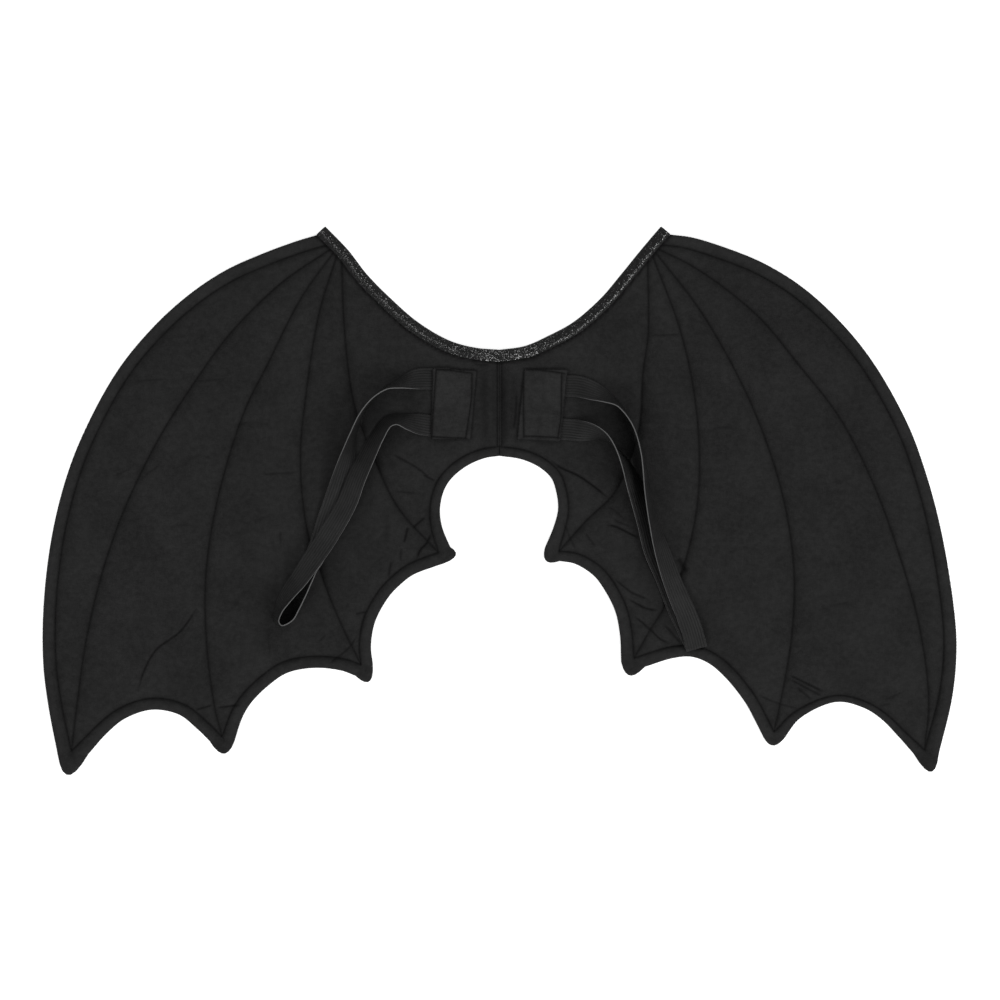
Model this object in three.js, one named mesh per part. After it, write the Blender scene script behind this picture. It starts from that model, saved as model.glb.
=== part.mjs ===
import * as THREE from "three";
import { mergeVertices } from "three/addons/utils/BufferGeometryUtils.js";

// Costume bat wings of quilted felt, lying on their front with the strap side up.
// Millimetres. X runs along the span, Y from the wing tips to the neck, Z up.
// In every table out is a share of the half span, measured from the centre seam,
// and up is a share of the height, measured from the lowest tip.
// The two wings are cut from one pattern but lie a little differently, so each has its own columns.

// Driving sizes
const SPAN = 870;
const HEIGHT = 524;
const RIM_WIDTH = 11.2;
const FIELD_THICKNESS = 5.2;
const RIM_THICKNESS = 4.2;
const EDGE_THICKNESS = 1.4;
const FELT_SWELL = 9;
const UNDERSIDE_DRAW = 0.6;
const UNDERSIDE_REACH = 7;
const STITCHED_TOP = 3.4;
const SEAM_GAP = 0.3;
const CLEARANCE = 0.35;
const BINDING_WIDTH = 11.5;
const BINDING_CLOTH = 1.1;
const BINDING_CROWN = 0.9;
const BINDING_CLEARANCE = 0.5;
const BINDING_RIDGE = { left: 0.5, right: 0.82 };
const PATCH_THICKNESS = 1.6;
const PATCH_EDGE_SLOPE = 4;
const PATCH_MARGIN = 1.6;
const STRAP_WIDTH = 20;
const STRAP_THICKNESS = 1.2;

// How finely the curved forms are faceted
const PANEL_ROWS = 15;
const TIP_STEPS = 4;
const STRAP_STEP = 7;
const FOLD_STEPS = 6;
const PATCH_ROWS = 15;
const PATCH_COLUMNS = 8;
const MERGE_DISTANCE = 1e-4;

const HALF_SPAN = SPAN / 2;
const BOUND_UNDERSIDE = BINDING_CLOTH + CLEARANCE;
const BINDING_TOP = STITCHED_TOP + CLEARANCE + BINDING_CLOTH;
// Share of the way along the neck edge where the leading edge's stitch line starts
const LEADING_ROOT = 0.06;
// How sharply a stitch line bends into the stitch corner of its tip
const CORNER_PULL = 6;

// Finishes
const WING_FELT = { color: 0x262626, roughness: 0.95 };
const PATCH_FELT = { color: 0x2b2b2b, roughness: 0.95 };
const GLITTER_CLOTH = { color: 0x3c3c3e, roughness: 0.6 };
const ELASTIC = { color: 0x242424, roughness: 0.85 };

// The neck edge from the outer neck corner to the centre seam
const NECK = [
  { left: [0.381, 0.997], right: [0.353, 0.997] },
  { left: [0.331, 0.954], right: [0.309, 0.954] },
  { left: [0.29, 0.91], right: [0.266, 0.91] },
  { left: [0.239, 0.867], right: [0.222, 0.867] },
  { left: [0.178, 0.823], right: [0.161, 0.823] },
  { left: [0.11, 0.79], right: [0.106, 0.798] },
  { left: [0.054, 0.777], right: [0.056, 0.78] },
  { left: [0, 0.773], right: [0, 0.773] },
];

// The outer edge in four stretches, each from the tip before it to the tip after it.
// tip is the rounded point that ends the stretch and corner is the stitch corner inside it.
const EDGES = [
  // Leading edge
  {
    rows: [
      { left: [0.445, 0.97], right: [0.421, 0.977] },
      { left: [0.523, 0.946], right: [0.499, 0.957] },
      { left: [0.602, 0.916], right: [0.578, 0.93] },
      { left: [0.681, 0.872], right: [0.657, 0.89] },
      { left: [0.76, 0.812], right: [0.736, 0.832] },
      { left: [0.838, 0.732], right: [0.814, 0.754] },
      { left: [0.917, 0.609], right: [0.893, 0.638] },
      { left: [0.956, 0.518], right: [0.932, 0.551] },
      { left: [0.983, 0.417], right: [0.965, 0.449] },
      { left: [0.998, 0.3], right: [0.992, 0.319] },
      { left: [0.998, 0.201], right: [1, 0.235] },
      { left: [0.987, 0.126], right: [0.991, 0.144] },
      { left: [0.967, 0.039], right: [0.961, 0.039] },
    ],
    tip: { left: [0.943, 0], right: [0.943, 0.006] },
    corner: { left: [0.937, 0.044], right: [0.93, 0.046] },
  },
  // Outer scallop
  {
    rows: [
      { left: [0.899, 0.039], right: [0.906, 0.039] },
      { left: [0.858, 0.077], right: [0.873, 0.07] },
      { left: [0.819, 0.103], right: [0.834, 0.103] },
      { left: [0.76, 0.119], right: [0.795, 0.123] },
      { left: [0.701, 0.11], right: [0.736, 0.133] },
      { left: [0.661, 0.084], right: [0.657, 0.103] },
      { left: [0.635, 0.063], right: [0.622, 0.066] },
    ],
    tip: { left: [0.604, 0.039], right: [0.598, 0.054] },
    corner: { left: [0.607, 0.07], right: [0.6, 0.079] },
  },
  // Middle scallop
  {
    rows: [
      { left: [0.58, 0.061], right: [0.578, 0.068] },
      { left: [0.563, 0.104], right: [0.558, 0.101] },
      { left: [0.543, 0.132], right: [0.539, 0.13] },
      { left: [0.504, 0.164], right: [0.499, 0.173] },
      { left: [0.464, 0.186], right: [0.46, 0.202] },
      { left: [0.405, 0.195], right: [0.421, 0.215] },
      { left: [0.346, 0.19], right: [0.381, 0.213] },
      { left: [0.316, 0.181], right: [0.318, 0.197] },
    ],
    tip: { left: [0.285, 0.17], right: [0.285, 0.181] },
    corner: { left: [0.303, 0.201], right: [0.294, 0.213] },
  },
  // Inner scallop
  {
    rows: [
      { left: [0.277, 0.202], right: [0.266, 0.206] },
      { left: [0.281, 0.235], right: [0.263, 0.257] },
      { left: [0.272, 0.279], right: [0.252, 0.3] },
      { left: [0.244, 0.322], right: [0.224, 0.344] },
      { left: [0.22, 0.344], right: [0.204, 0.364] },
      { left: [0.189, 0.364], right: [0.165, 0.384] },
      { left: [0.139, 0.38], right: [0.132, 0.389] },
    ],
    tip: { left: [0.097, 0.397], right: [0.102, 0.389] },
    corner: { left: [0.137, 0.411], right: [0.13, 0.407] },
  },
  // Lower arch
  {
    rows: [
      { left: [0.108, 0.415], right: [0.099, 0.413] },
      { left: [0.126, 0.453], right: [0.119, 0.453] },
      { left: [0.13, 0.485], right: [0.128, 0.485] },
      { left: [0.121, 0.518], right: [0.123, 0.518] },
      { left: [0.104, 0.54], right: [0.113, 0.54] },
      { left: [0.071, 0.562], right: [0.086, 0.56] },
      { left: [0.032, 0.576], right: [0.047, 0.574] },
      { left: [0, 0.58], right: [0, 0.58] },
    ],
    corner: { left: [0, 0.597], right: [0, 0.597] },
  },
];

// The sewn ribs, each from the neck edge to the stitch corner of its tip.
// root is its start, as a share of the way from the neck corner to the centre seam.
const RIBS = [
  {
    root: 0.085,
    rows: [
      { left: [0.478, 0.894], right: [0.434, 0.919] },
      { left: [0.591, 0.801], right: [0.563, 0.836] },
      { left: [0.67, 0.711], right: [0.657, 0.743] },
      { left: [0.744, 0.614], right: [0.742, 0.652] },
      { left: [0.816, 0.493], right: [0.816, 0.533] },
      { left: [0.867, 0.375], right: [0.88, 0.387] },
      { left: [0.904, 0.248], right: [0.919, 0.268] },
      { left: [0.923, 0.139], right: [0.939, 0.137] },
    ],
  },
  {
    root: 0.105,
    rows: [
      { left: [0.432, 0.87], right: [0.44, 0.843] },
      { left: [0.51, 0.743], right: [0.53, 0.711] },
      { left: [0.558, 0.662], right: [0.587, 0.598] },
      { left: [0.615, 0.509], right: [0.624, 0.491] },
      { left: [0.642, 0.371], right: [0.644, 0.373] },
      { left: [0.642, 0.251], right: [0.639, 0.253] },
      { left: [0.624, 0.126], right: [0.613, 0.126] },
    ],
  },
  {
    root: 0.125,
    rows: [
      { left: [0.395, 0.839], right: [0.399, 0.798] },
      { left: [0.425, 0.683], right: [0.432, 0.652] },
      { left: [0.436, 0.58], right: [0.434, 0.504] },
      { left: [0.425, 0.464], right: [0.403, 0.382] },
      { left: [0.392, 0.369], right: [0.362, 0.308] },
      { left: [0.349, 0.279], right: [0.328, 0.262] },
    ],
  },
  {
    root: 0.16,
    rows: [
      { left: [0.342, 0.843], right: [0.325, 0.801] },
      { left: [0.333, 0.752], right: [0.314, 0.734] },
      { left: [0.316, 0.669], right: [0.303, 0.623] },
      { left: [0.266, 0.558], right: [0.257, 0.52] },
      { left: [0.22, 0.484], right: [0.189, 0.462] },
    ],
  },
];

// Columns of facets in the panels between two stitch lines, from the leading edge to the centre seam
const PANEL_COLUMNS = [4, 8, 8, 7, 11];

// Cross-section of the rim channel: reach is a share of the way from the stitch line to the edge,
// top and under are shares of the rim's thickness.
const RIM_SECTION = [
  { reach: 0.4, top: 1, under: 0 },
  { reach: 0.8, top: 0.9, under: 0.08 },
];

// Cross-section of the binding's outer face, from its lower hem round the neck edge and over the ridge:
// depth is a share of its width, height a share of its height without the crown, crown a share of
// the crown and turn a share of the cloth's thickness by which the hem turns down.
const BINDING_FACE = [
  { depth: 1, height: 0, crown: 0, turn: 0 },
  { depth: 0.16, height: 0, crown: 0, turn: 0 },
  { depth: 0.03, height: 0.2, crown: 0, turn: 0 },
  { depth: 0, height: 0.5, crown: 0, turn: 0 },
  { depth: 0.05, height: 0.82, crown: 0, turn: 0 },
  { depth: 0.2, height: 1, crown: 0, turn: 0 },
  { depth: "ridge", height: 1, crown: 1, turn: 0 },
  { depth: 0.93, height: 1, crown: 0.2, turn: 0 },
  { depth: 1, height: 1, crown: 0, turn: 0.3 },
];
// The stretch between the two neck corners in which the ridge moves over
const RIDGE_SHIFT = [0.3, 0.7];

// Centre lines of the two elastic loops, from their upper end under the patch to their lower end.
// lean is the turn of the band about its centre line: 0 and 180 lie flat, 90 stands on edge.
// lift is how far the band is held up by what it lies on, as a share of its width.
// A loop in two strands is folded back on itself where the first one ends.
const STRAPS = {
  left: [
    [
      { out: 0.108, up: 0.72, lean: 0, lift: 0 },
      { out: 0.152, up: 0.72, lean: 0, lift: 0 },
      { out: 0.168, up: 0.72, lean: 4, lift: 0 },
      { out: 0.187, up: 0.719, lean: 18, lift: 0 },
      { out: 0.215, up: 0.714, lean: 48, lift: 0 },
      { out: 0.246, up: 0.706, lean: 70, lift: 0 },
      { out: 0.279, up: 0.685, lean: 88, lift: 0 },
      { out: 0.304, up: 0.66, lean: 95, lift: 0 },
      { out: 0.322, up: 0.623, lean: 105, lift: 0 },
      { out: 0.33, up: 0.591, lean: 125, lift: 0 },
      { out: 0.341, up: 0.548, lean: 150, lift: 0 },
      { out: 0.358, up: 0.504, lean: 170, lift: 0 },
      { out: 0.376, up: 0.462, lean: 178, lift: 0 },
      { out: 0.39, up: 0.424, lean: 178, lift: 0 },
      { out: 0.403, up: 0.391, lean: 170, lift: 0 },
      { out: 0.404, up: 0.362, lean: 150, lift: 0 },
      { out: 0.403, up: 0.338, lean: 112, lift: 0 },
      { out: 0.43, up: 0.302, lean: 108, lift: 0 },
      { out: 0.452, up: 0.277, lean: 106, lift: 0 },
      { out: 0.475, up: 0.265, lean: 110, lift: 0 },
      { out: 0.491, up: 0.277, lean: 118, lift: 0 },
      { out: 0.489, up: 0.305, lean: 130, lift: 0.08 },
      { out: 0.473, up: 0.328, lean: 145, lift: 0.25 },
      { out: 0.448, up: 0.35, lean: 152, lift: 0.46 },
      { out: 0.412, up: 0.389, lean: 160, lift: 0.34 },
      { out: 0.375, up: 0.433, lean: 174, lift: 0.22 },
      { out: 0.333, up: 0.493, lean: 166, lift: 0.21 },
      { out: 0.31, up: 0.542, lean: 160, lift: 0.23 },
      { out: 0.291, up: 0.58, lean: 146, lift: 0.18 },
      { out: 0.271, up: 0.615, lean: 135, lift: 0.06 },
      { out: 0.248, up: 0.641, lean: 127, lift: 0 },
      { out: 0.224, up: 0.646, lean: 122, lift: 0 },
      { out: 0.194, up: 0.641, lean: 144, lift: 0 },
      { out: 0.17, up: 0.637, lean: 172, lift: 0 },
      { out: 0.152, up: 0.635, lean: 180, lift: 0 },
      { out: 0.108, up: 0.634, lean: 180, lift: 0 },
    ],
  ],
  right: [
    [
      { out: 0.108, up: 0.707, lean: 0, lift: 0 },
      { out: 0.15, up: 0.707, lean: 0, lift: 0 },
      { out: 0.172, up: 0.706, lean: 3, lift: 0 },
      { out: 0.2, up: 0.7, lean: 16, lift: 0 },
      { out: 0.234, up: 0.69, lean: 40, lift: 0 },
      { out: 0.263, up: 0.674, lean: 65, lift: 0 },
      { out: 0.292, up: 0.634, lean: 82, lift: 0 },
      { out: 0.312, up: 0.586, lean: 77, lift: 0 },
      { out: 0.326, up: 0.51, lean: 64, lift: 0 },
      { out: 0.339, up: 0.453, lean: 56, lift: 0 },
      { out: 0.358, up: 0.399, lean: 38, lift: 0.02 },
      { out: 0.376, up: 0.355, lean: 27, lift: 0.05 },
      { out: 0.392, up: 0.322, lean: 17, lift: 0.09 },
      { out: 0.41, up: 0.287, lean: 7, lift: 0.12 },
      { out: 0.421, up: 0.261, lean: 2, lift: 0.12 },
      { out: 0.43, up: 0.233, lean: 0, lift: 0.12 },
    ],
    [
      { out: 0.43, up: 0.233, lean: 180, lift: 0 },
      { out: 0.409, up: 0.27, lean: 180, lift: 0 },
      { out: 0.392, up: 0.299, lean: 180, lift: 0 },
      { out: 0.363, up: 0.36, lean: 180, lift: 0 },
      { out: 0.337, up: 0.414, lean: 180, lift: 0 },
      { out: 0.316, up: 0.466, lean: 178, lift: 0 },
      { out: 0.303, up: 0.508, lean: 172, lift: 0 },
      { out: 0.286, up: 0.548, lean: 150, lift: 0 },
      { out: 0.264, up: 0.585, lean: 115, lift: 0 },
      { out: 0.242, up: 0.613, lean: 85, lift: 0 },
      { out: 0.219, up: 0.624, lean: 50, lift: 0 },
      { out: 0.192, up: 0.626, lean: 12, lift: 0 },
      { out: 0.17, up: 0.627, lean: 1, lift: 0 },
      { out: 0.15, up: 0.628, lean: 0, lift: 0 },
      { out: 0.098, up: 0.63, lean: 0, lift: 0 },
    ],
  ],
};

// Where the strap patches lie: their four corners, from the outer upper one round to the outer lower one
const PATCHES = {
  left: [[0.146, 0.739], [0.05, 0.735], [0.063, 0.61], [0.15, 0.61]],
  right: [[0.149, 0.737], [0.054, 0.738], [0.038, 0.61], [0.133, 0.606]],
};

const SIDES = ["left", "right"];
const BED = FIELD_THICKNESS + CLEARANCE;
const UP = new THREE.Vector3(0, 0, 1);

const outward = (side) => (side === "left" ? -1 : 1);
const at = (side, [out, up]) => new THREE.Vector3(outward(side) * out * HALF_SPAN, up * HEIGHT, 0);
const column = (side, rows) => rows.map((row) => at(side, row[side]));
const smooth = (points) => new THREE.CatmullRomCurve3(points, false, "centripetal");
const between = (a, b, share) => new THREE.Vector3().lerpVectors(a, b, share);
const even = (steps) => Array.from({ length: steps + 1 }, (_, step) => step / steps);
const closeToEnds = (share) => (1 - Math.cos(Math.PI * share)) / 2;
const closeToTip = (share) => 0.6 * share + 0.4 * Math.sin((Math.PI / 2) * share);
// Even shares of the neck edge across the top of one panel
const spread = (panel) =>
  even(PANEL_COLUMNS[panel]).map((share) => THREE.MathUtils.lerp(ROOTS[panel], ROOTS[panel + 1], share));
const leftOf = (along) => new THREE.Vector3(-along.y, along.x, 0).normalize();

// A closed solid from its corners and faces, turned so that every face points out
function solid(name, corners, faces, finish) {
  const place = new Float32Array(corners.flatMap((corner) => corner.toArray()));
  let volume = 0;
  for (const [a, b, c] of faces) {
    volume += corners[a].dot(new THREE.Vector3().crossVectors(corners[b], corners[c]));
  }
  const facing = volume > 0 ? faces : faces.map(([a, b, c]) => [a, c, b]);
  const geometry = new THREE.BufferGeometry();
  geometry.setAttribute("position", new THREE.BufferAttribute(place, 3));
  geometry.setIndex(facing.flat());
  const material = new THREE.MeshStandardMaterial({ ...finish, metalness: 0 });
  const mesh = new THREE.Mesh(mergeVertices(geometry, MERGE_DISTANCE), material);
  mesh.name = name;
  return mesh;
}

// A flat net of points, each with the height of its top and of its underside
class Net {
  constructor() {
    this.points = [];
    this.faces = [];
    this.known = new Map();
  }

  point(place, heights) {
    const key = `${place.x.toFixed(2)} ${place.y.toFixed(2)}`;
    if (!this.known.has(key)) {
      this.known.set(key, this.points.length);
      this.points.push({ place, ...heights });
    }
    return this.known.get(key);
  }

  face(a, b, c) {
    if (a === b || b === c || c === a) return;
    const [p, q, r] = [a, b, c].map((index) => this.points[index].place);
    const turn = (q.x - p.x) * (r.y - p.y) - (q.y - p.y) * (r.x - p.x);
    this.faces.push(turn > 0 ? [a, b, c] : [a, c, b]);
  }

  strip(one, other) {
    for (let step = 1; step < one.length; step += 1) {
      this.face(one[step - 1], one[step], other[step]);
      this.face(one[step - 1], other[step], other[step - 1]);
    }
  }

  solid(name, finish) {
    const corners = this.points.flatMap(({ place, top, under }) => [
      new THREE.Vector3(place.x, place.y, top),
      new THREE.Vector3(place.x, place.y, under),
    ]);
    const faces = [];
    const edges = new Map();
    for (const [a, b, c] of this.faces) {
      faces.push([2 * a, 2 * b, 2 * c], [2 * a + 1, 2 * c + 1, 2 * b + 1]);
      for (const [from, to] of [[a, b], [b, c], [c, a]]) edges.set(`${from} ${to}`, [from, to]);
    }
    for (const [from, to] of edges.values()) {
      if (edges.has(`${to} ${from}`)) continue;
      faces.push([2 * from, 2 * from + 1, 2 * to + 1], [2 * from, 2 * to + 1, 2 * to]);
    }
    return solid(name, corners, faces, finish);
  }
}

// A band swept through rings of corners that all have the same outline
function swept(name, rings, outline, finish) {
  const count = outline.length;
  const faces = [];
  for (let ring = 1; ring < rings.length; ring += 1) {
    for (let corner = 0; corner < count; corner += 1) {
      const next = (corner + 1) % count;
      const [near, far] = [(ring - 1) * count, ring * count];
      faces.push([near + corner, near + next, far + next], [near + corner, far + next, far + corner]);
    }
  }
  const last = (rings.length - 1) * count;
  const clockwise = THREE.ShapeUtils.isClockWise(outline);
  for (const face of THREE.ShapeUtils.triangulateShape(outline, [])) {
    const [a, b, c] = clockwise ? face.reverse() : face;
    faces.push([a, c, b], [last + a, last + b, last + c]);
  }
  return solid(name, rings.flat(), faces, finish);
}

// Shares along the neck edge where the sewn lines start, and where the binding is laid out
const ROOTS = [LEADING_ROOT, ...RIBS.map(({ root }) => root), 1];
const NECK_STATIONS = [0, ...ROOTS.slice(0, -2), ...spread(4)];

const neckCurve = (side) => smooth(column(side, NECK));

// A point of the neck edge, moved in from the edge towards the panel
function fromNeck(side, share, depth) {
  const curve = neckCurve(side);
  const aside = leftOf(curve.getTangentAt(share)).multiplyScalar(outward(side) * depth);
  const place = curve.getPointAt(share).add(aside);
  return share === 1 ? new THREE.Vector3(0, place.y, 0) : place;
}

const hem = (side, share) => fromNeck(side, share, BINDING_WIDTH + BINDING_CLEARANCE);

// The edge that is tucked into the binding runs straight between the binding's stations
function tuck(side, share) {
  const next = Math.max(1, NECK_STATIONS.findIndex((station) => station >= share));
  const [from, to] = [NECK_STATIONS[next - 1], NECK_STATIONS[next]];
  const [start, end] = [from, to].map((station) => fromNeck(side, station, BINDING_CLOTH + CLEARANCE));
  return between(start, end, (share - from) / (to - from));
}

// The five stretches of the outer edge with the stitch line that runs inside each
function edgeLines(side) {
  const starts = [hem(side, LEADING_ROOT), ...EDGES.map((edge) => at(side, edge.corner[side]))];
  return EDGES.map((edge, index) => {
    const first = index === 0 ? [hem(side, 0)] : [];
    const curve = smooth([...first, ...column(side, edge.rows)]);
    const aside = (share) =>
      curve
        .getPointAt(share)
        .add(leftOf(curve.getTangentAt(share)).multiplyScalar(-outward(side) * RIM_WIDTH));
    const startShift = starts[index].clone().sub(aside(0));
    const endShift = starts[index + 1].clone().sub(aside(1));
    const stitch = (share) =>
      aside(share)
        .addScaledVector(startShift, (1 - share) ** CORNER_PULL)
        .addScaledVector(endShift, share ** CORNER_PULL);
    return { edge, curve, stitch };
  });
}

// The rounded tip between two stretches of the edge, through the table's tip point
function tipArc(side, before, after) {
  const start = before.curve.getPointAt(1);
  const end = after.curve.getPointAt(0);
  const tip = at(side, before.edge.tip[side]);
  const pull = tip.clone().multiplyScalar(2).sub(between(start, end, 0.5));
  return new THREE.QuadraticBezierCurve3(start, pull, end);
}

function distanceToLines(place, lines) {
  const segment = new THREE.Line3();
  const nearest = new THREE.Vector3();
  let least = Infinity;
  for (const line of lines) {
    for (let step = 1; step < line.length; step += 1) {
      segment.set(line[step - 1], line[step]);
      segment.closestPointToPoint(place, true, nearest);
      least = Math.min(least, nearest.distanceTo(place));
    }
  }
  return least;
}

// Heights of the quilted field at a distance from the nearest line of stitches
function quilted(distance) {
  const swell = 1 - Math.exp(-distance / FELT_SWELL);
  const draw = Math.max(0, 1 - distance / UNDERSIDE_REACH);
  return {
    top: STITCHED_TOP + (FIELD_THICKNESS - STITCHED_TOP) * swell,
    under: UNDERSIDE_DRAW * draw * draw,
  };
}

// The points of one panel between two sewn lines, row by row from the hem to the lower edge
function panelRows(top, lower, outer, inner) {
  const [rows, columns] = [outer.length - 1, top.length - 1];
  return even(rows).map((_, row) => {
    const down = closeToTip(row / rows);
    return even(columns).map((share, step) => {
      const across = closeToEnds(share);
      const sides = between(outer[row], inner[row], across);
      const ends = between(top[step], lower[step], down);
      const corners = between(
        between(top[0], top[columns], across),
        between(lower[0], lower[columns], across),
        down,
      );
      return sides.add(ends).sub(corners);
    });
  });
}

function wing(side) {
  const edges = edgeLines(side);
  const fall = even(PANEL_ROWS).map(closeToTip);
  const ribLines = RIBS.map(({ root, rows }, index) => {
    const foot = at(side, EDGES[index].corner[side]);
    const curve = smooth([hem(side, root), ...column(side, rows), foot]);
    return fall.map((share) => curve.getPointAt(share));
  });
  const seam = fall.map((share) => between(hem(side, 1), edges[4].stitch(1), share));
  const leading = fall.map((share) => edges[0].stitch(share));
  const uprights = [leading, ...ribLines, seam];
  const lowers = PANEL_COLUMNS.map((columns, panel) =>
    even(columns).map((share) =>
      panel === 0 ? leading[PANEL_ROWS] : edges[panel].stitch(closeToEnds(share)),
    ),
  );
  const tops = PANEL_COLUMNS.map((_, panel) => spread(panel).map((share) => hem(side, share)));

  const net = new Net();
  const clearOfSeam = (place) => {
    place.x = outward(side) * Math.max(outward(side) * place.x, SEAM_GAP / 2);
    return place;
  };
  const lay = (places, heights) => places.map((place) => net.point(clearOfSeam(place), heights(place)));
  const bound = () => ({ top: STITCHED_TOP, under: BOUND_UNDERSIDE });

  // The strip that is tucked into the binding
  const rimStart = RIM_SECTION.map(({ reach }) => 1 - reach).reverse();
  const corner = hem(side, LEADING_ROOT);
  const hemShares = [0, ...rimStart.map((share) => share * LEADING_ROOT)];
  const hemPlaces = [hem(side, 0), ...rimStart.map((share) => between(hem(side, 0), corner, share))];
  tops.forEach((places, panel) => {
    const first = panel === 0 ? 0 : 1;
    hemShares.push(...spread(panel).slice(first));
    hemPlaces.push(...places.slice(first).map((place) => place.clone()));
  });
  net.strip(lay(hemPlaces, bound), lay(hemShares.map((share) => tuck(side, share)), bound));

  // The rim channel, from the stitch line out to the edge, round every tip
  const pairs = [];
  edges.forEach((line, index) => {
    const shares = index === 0 ? fall : even(PANEL_COLUMNS[index]).map(closeToEnds);
    for (const share of shares) pairs.push([line.stitch(share), line.curve.getPointAt(share)]);
    if (index === edges.length - 1) return;
    const arc = tipArc(side, line, edges[index + 1]);
    for (const share of even(TIP_STEPS).slice(1, -1)) pairs.push([line.stitch(1), arc.getPoint(share)]);
  });
  const stitched = lay(pairs.map(([stitch]) => stitch.clone()), () => quilted(0));
  const bands = RIM_SECTION.map(({ reach, top, under }) =>
    lay(pairs.map(([stitch, edge]) => between(stitch, edge, reach)), () => ({
      top: RIM_THICKNESS * top,
      under: RIM_THICKNESS * under,
    })),
  );
  const middle = RIM_THICKNESS / 2;
  const edge = lay(pairs.map((pair) => pair[1].clone()), () => ({
    top: middle + EDGE_THICKNESS / 2,
    under: middle - EDGE_THICKNESS / 2,
  }));
  const rim = [stitched, ...bands, edge];
  for (let band = 1; band < rim.length; band += 1) net.strip(rim[band - 1], rim[band]);

  // The five quilted panels
  const sewn = [...uprights, ...lowers.slice(1), hemPlaces];
  PANEL_COLUMNS.forEach((_, panel) => {
    const rows = panelRows(tops[panel], lowers[panel], uprights[panel], uprights[panel + 1]);
    const laid = rows.map((row) => lay(row, (place) => quilted(distanceToLines(place, sewn))));
    for (let row = 1; row < laid.length; row += 1) net.strip(laid[row - 1], laid[row]);
  });
  return net.solid(`wing_${side}`, WING_FELT);
}

// The folded glitter band over the neck edge, with its ridge nearer the panel on the right half
function neckBinding() {
  const half = (side) => NECK_STATIONS.map((share) => ({ side, share }));
  const stations = [...half("left"), ...half("right").reverse().slice(1)];
  const inside = { low: BINDING_CLOTH, high: STITCHED_TOP + CLEARANCE };
  const section = (ridge) => [
    ...BINDING_FACE.map(({ depth, height, crown, turn }) => [
      (depth === "ridge" ? ridge : depth) * BINDING_WIDTH,
      height * BINDING_TOP + crown * BINDING_CROWN - turn * BINDING_CLOTH,
    ]),
    [BINDING_WIDTH, inside.high],
    [BINDING_CLOTH, inside.high],
    [BINDING_CLOTH, inside.low],
    [BINDING_WIDTH, inside.low],
  ];
  const rings = stations.map(({ side, share }, index) => {
    const along = THREE.MathUtils.smoothstep(index / (stations.length - 1), ...RIDGE_SHIFT);
    const ridge = THREE.MathUtils.lerp(BINDING_RIDGE.left, BINDING_RIDGE.right, along);
    return section(ridge).map(([depth, height]) => fromNeck(side, share, depth).setZ(height));
  });
  const outline = section(BINDING_RIDGE.left).map(([depth, height]) => new THREE.Vector2(depth, height));
  return swept("neck_binding", rings, outline, GLITTER_CLOTH);
}

// The four corners of a strap at one place: the band's width runs along wide, its thickness along thick
function bandRing(centre, wide, thick) {
  const [half, deep] = [STRAP_WIDTH / 2, STRAP_THICKNESS / 2];
  return [[-1, -1], [1, -1], [1, 1], [-1, 1]].map(([across, through]) =>
    centre.clone().addScaledVector(wide, across * half).addScaledVector(thick, through * deep),
  );
}

// The centre, width direction and thickness direction of a strand at even steps along it
function strandStations(side, rows) {
  const route = smooth(rows.map(({ out, up }) => at(side, [out, up])));
  const shares = smooth(rows.map(({ lean, lift }) => new THREE.Vector3(lean, lift * STRAP_WIDTH, 0)));
  const steps = Math.round(route.getLength() / STRAP_STEP);
  return even(steps).map((share) => {
    const turn = route.getUtoTmapping(share);
    const centre = route.getPoint(turn);
    const { x: lean, y: lift } = shares.getPoint(turn);
    const angle = THREE.MathUtils.degToRad(lean);
    const aside = leftOf(route.getTangent(turn)).multiplyScalar(-outward(side));
    const [sine, cosine] = [Math.sin(angle), Math.cos(angle)];
    const rest = (Math.abs(sine) * STRAP_WIDTH + Math.abs(cosine) * STRAP_THICKNESS) / 2;
    centre.z = BED + rest + lift;
    return {
      centre,
      wide: aside.clone().multiplyScalar(cosine).addScaledVector(UP, sine),
      thick: aside.clone().multiplyScalar(-sine).addScaledVector(UP, cosine),
    };
  });
}

// The turn of the band where it is folded back under itself
function foldStations(upper, lower) {
  const middle = between(upper.centre, lower.centre, 0.5);
  const radius = upper.centre.distanceTo(lower.centre) / 2;
  const ahead = leftOf(upper.wide).multiplyScalar(upper.wide.x < 0 ? 1 : -1);
  return even(FOLD_STEPS).slice(1, -1).map((share) => {
    const angle = Math.PI * (0.5 - share);
    const thick = ahead.clone().multiplyScalar(Math.cos(angle)).addScaledVector(UP, Math.sin(angle));
    return { centre: middle.clone().addScaledVector(thick, radius), wide: upper.wide, thick };
  });
}

function strap(side) {
  const strands = STRAPS[side].map((rows) => strandStations(side, rows));
  const stations = strands.reduce((before, after) => [
    ...before,
    ...foldStations(before[before.length - 1], after[0]),
    ...after,
  ]);
  const rings = stations.map(({ centre, wide, thick }) => bandRing(centre, wide, thick));
  const outline = bandRing(new THREE.Vector3(), new THREE.Vector3(1, 0, 0), new THREE.Vector3(0, 1, 0));
  const flat = outline.map(({ x, y }) => new THREE.Vector2(x, y));
  return swept(`strap_${side}`, rings, flat, ELASTIC);
}

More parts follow.
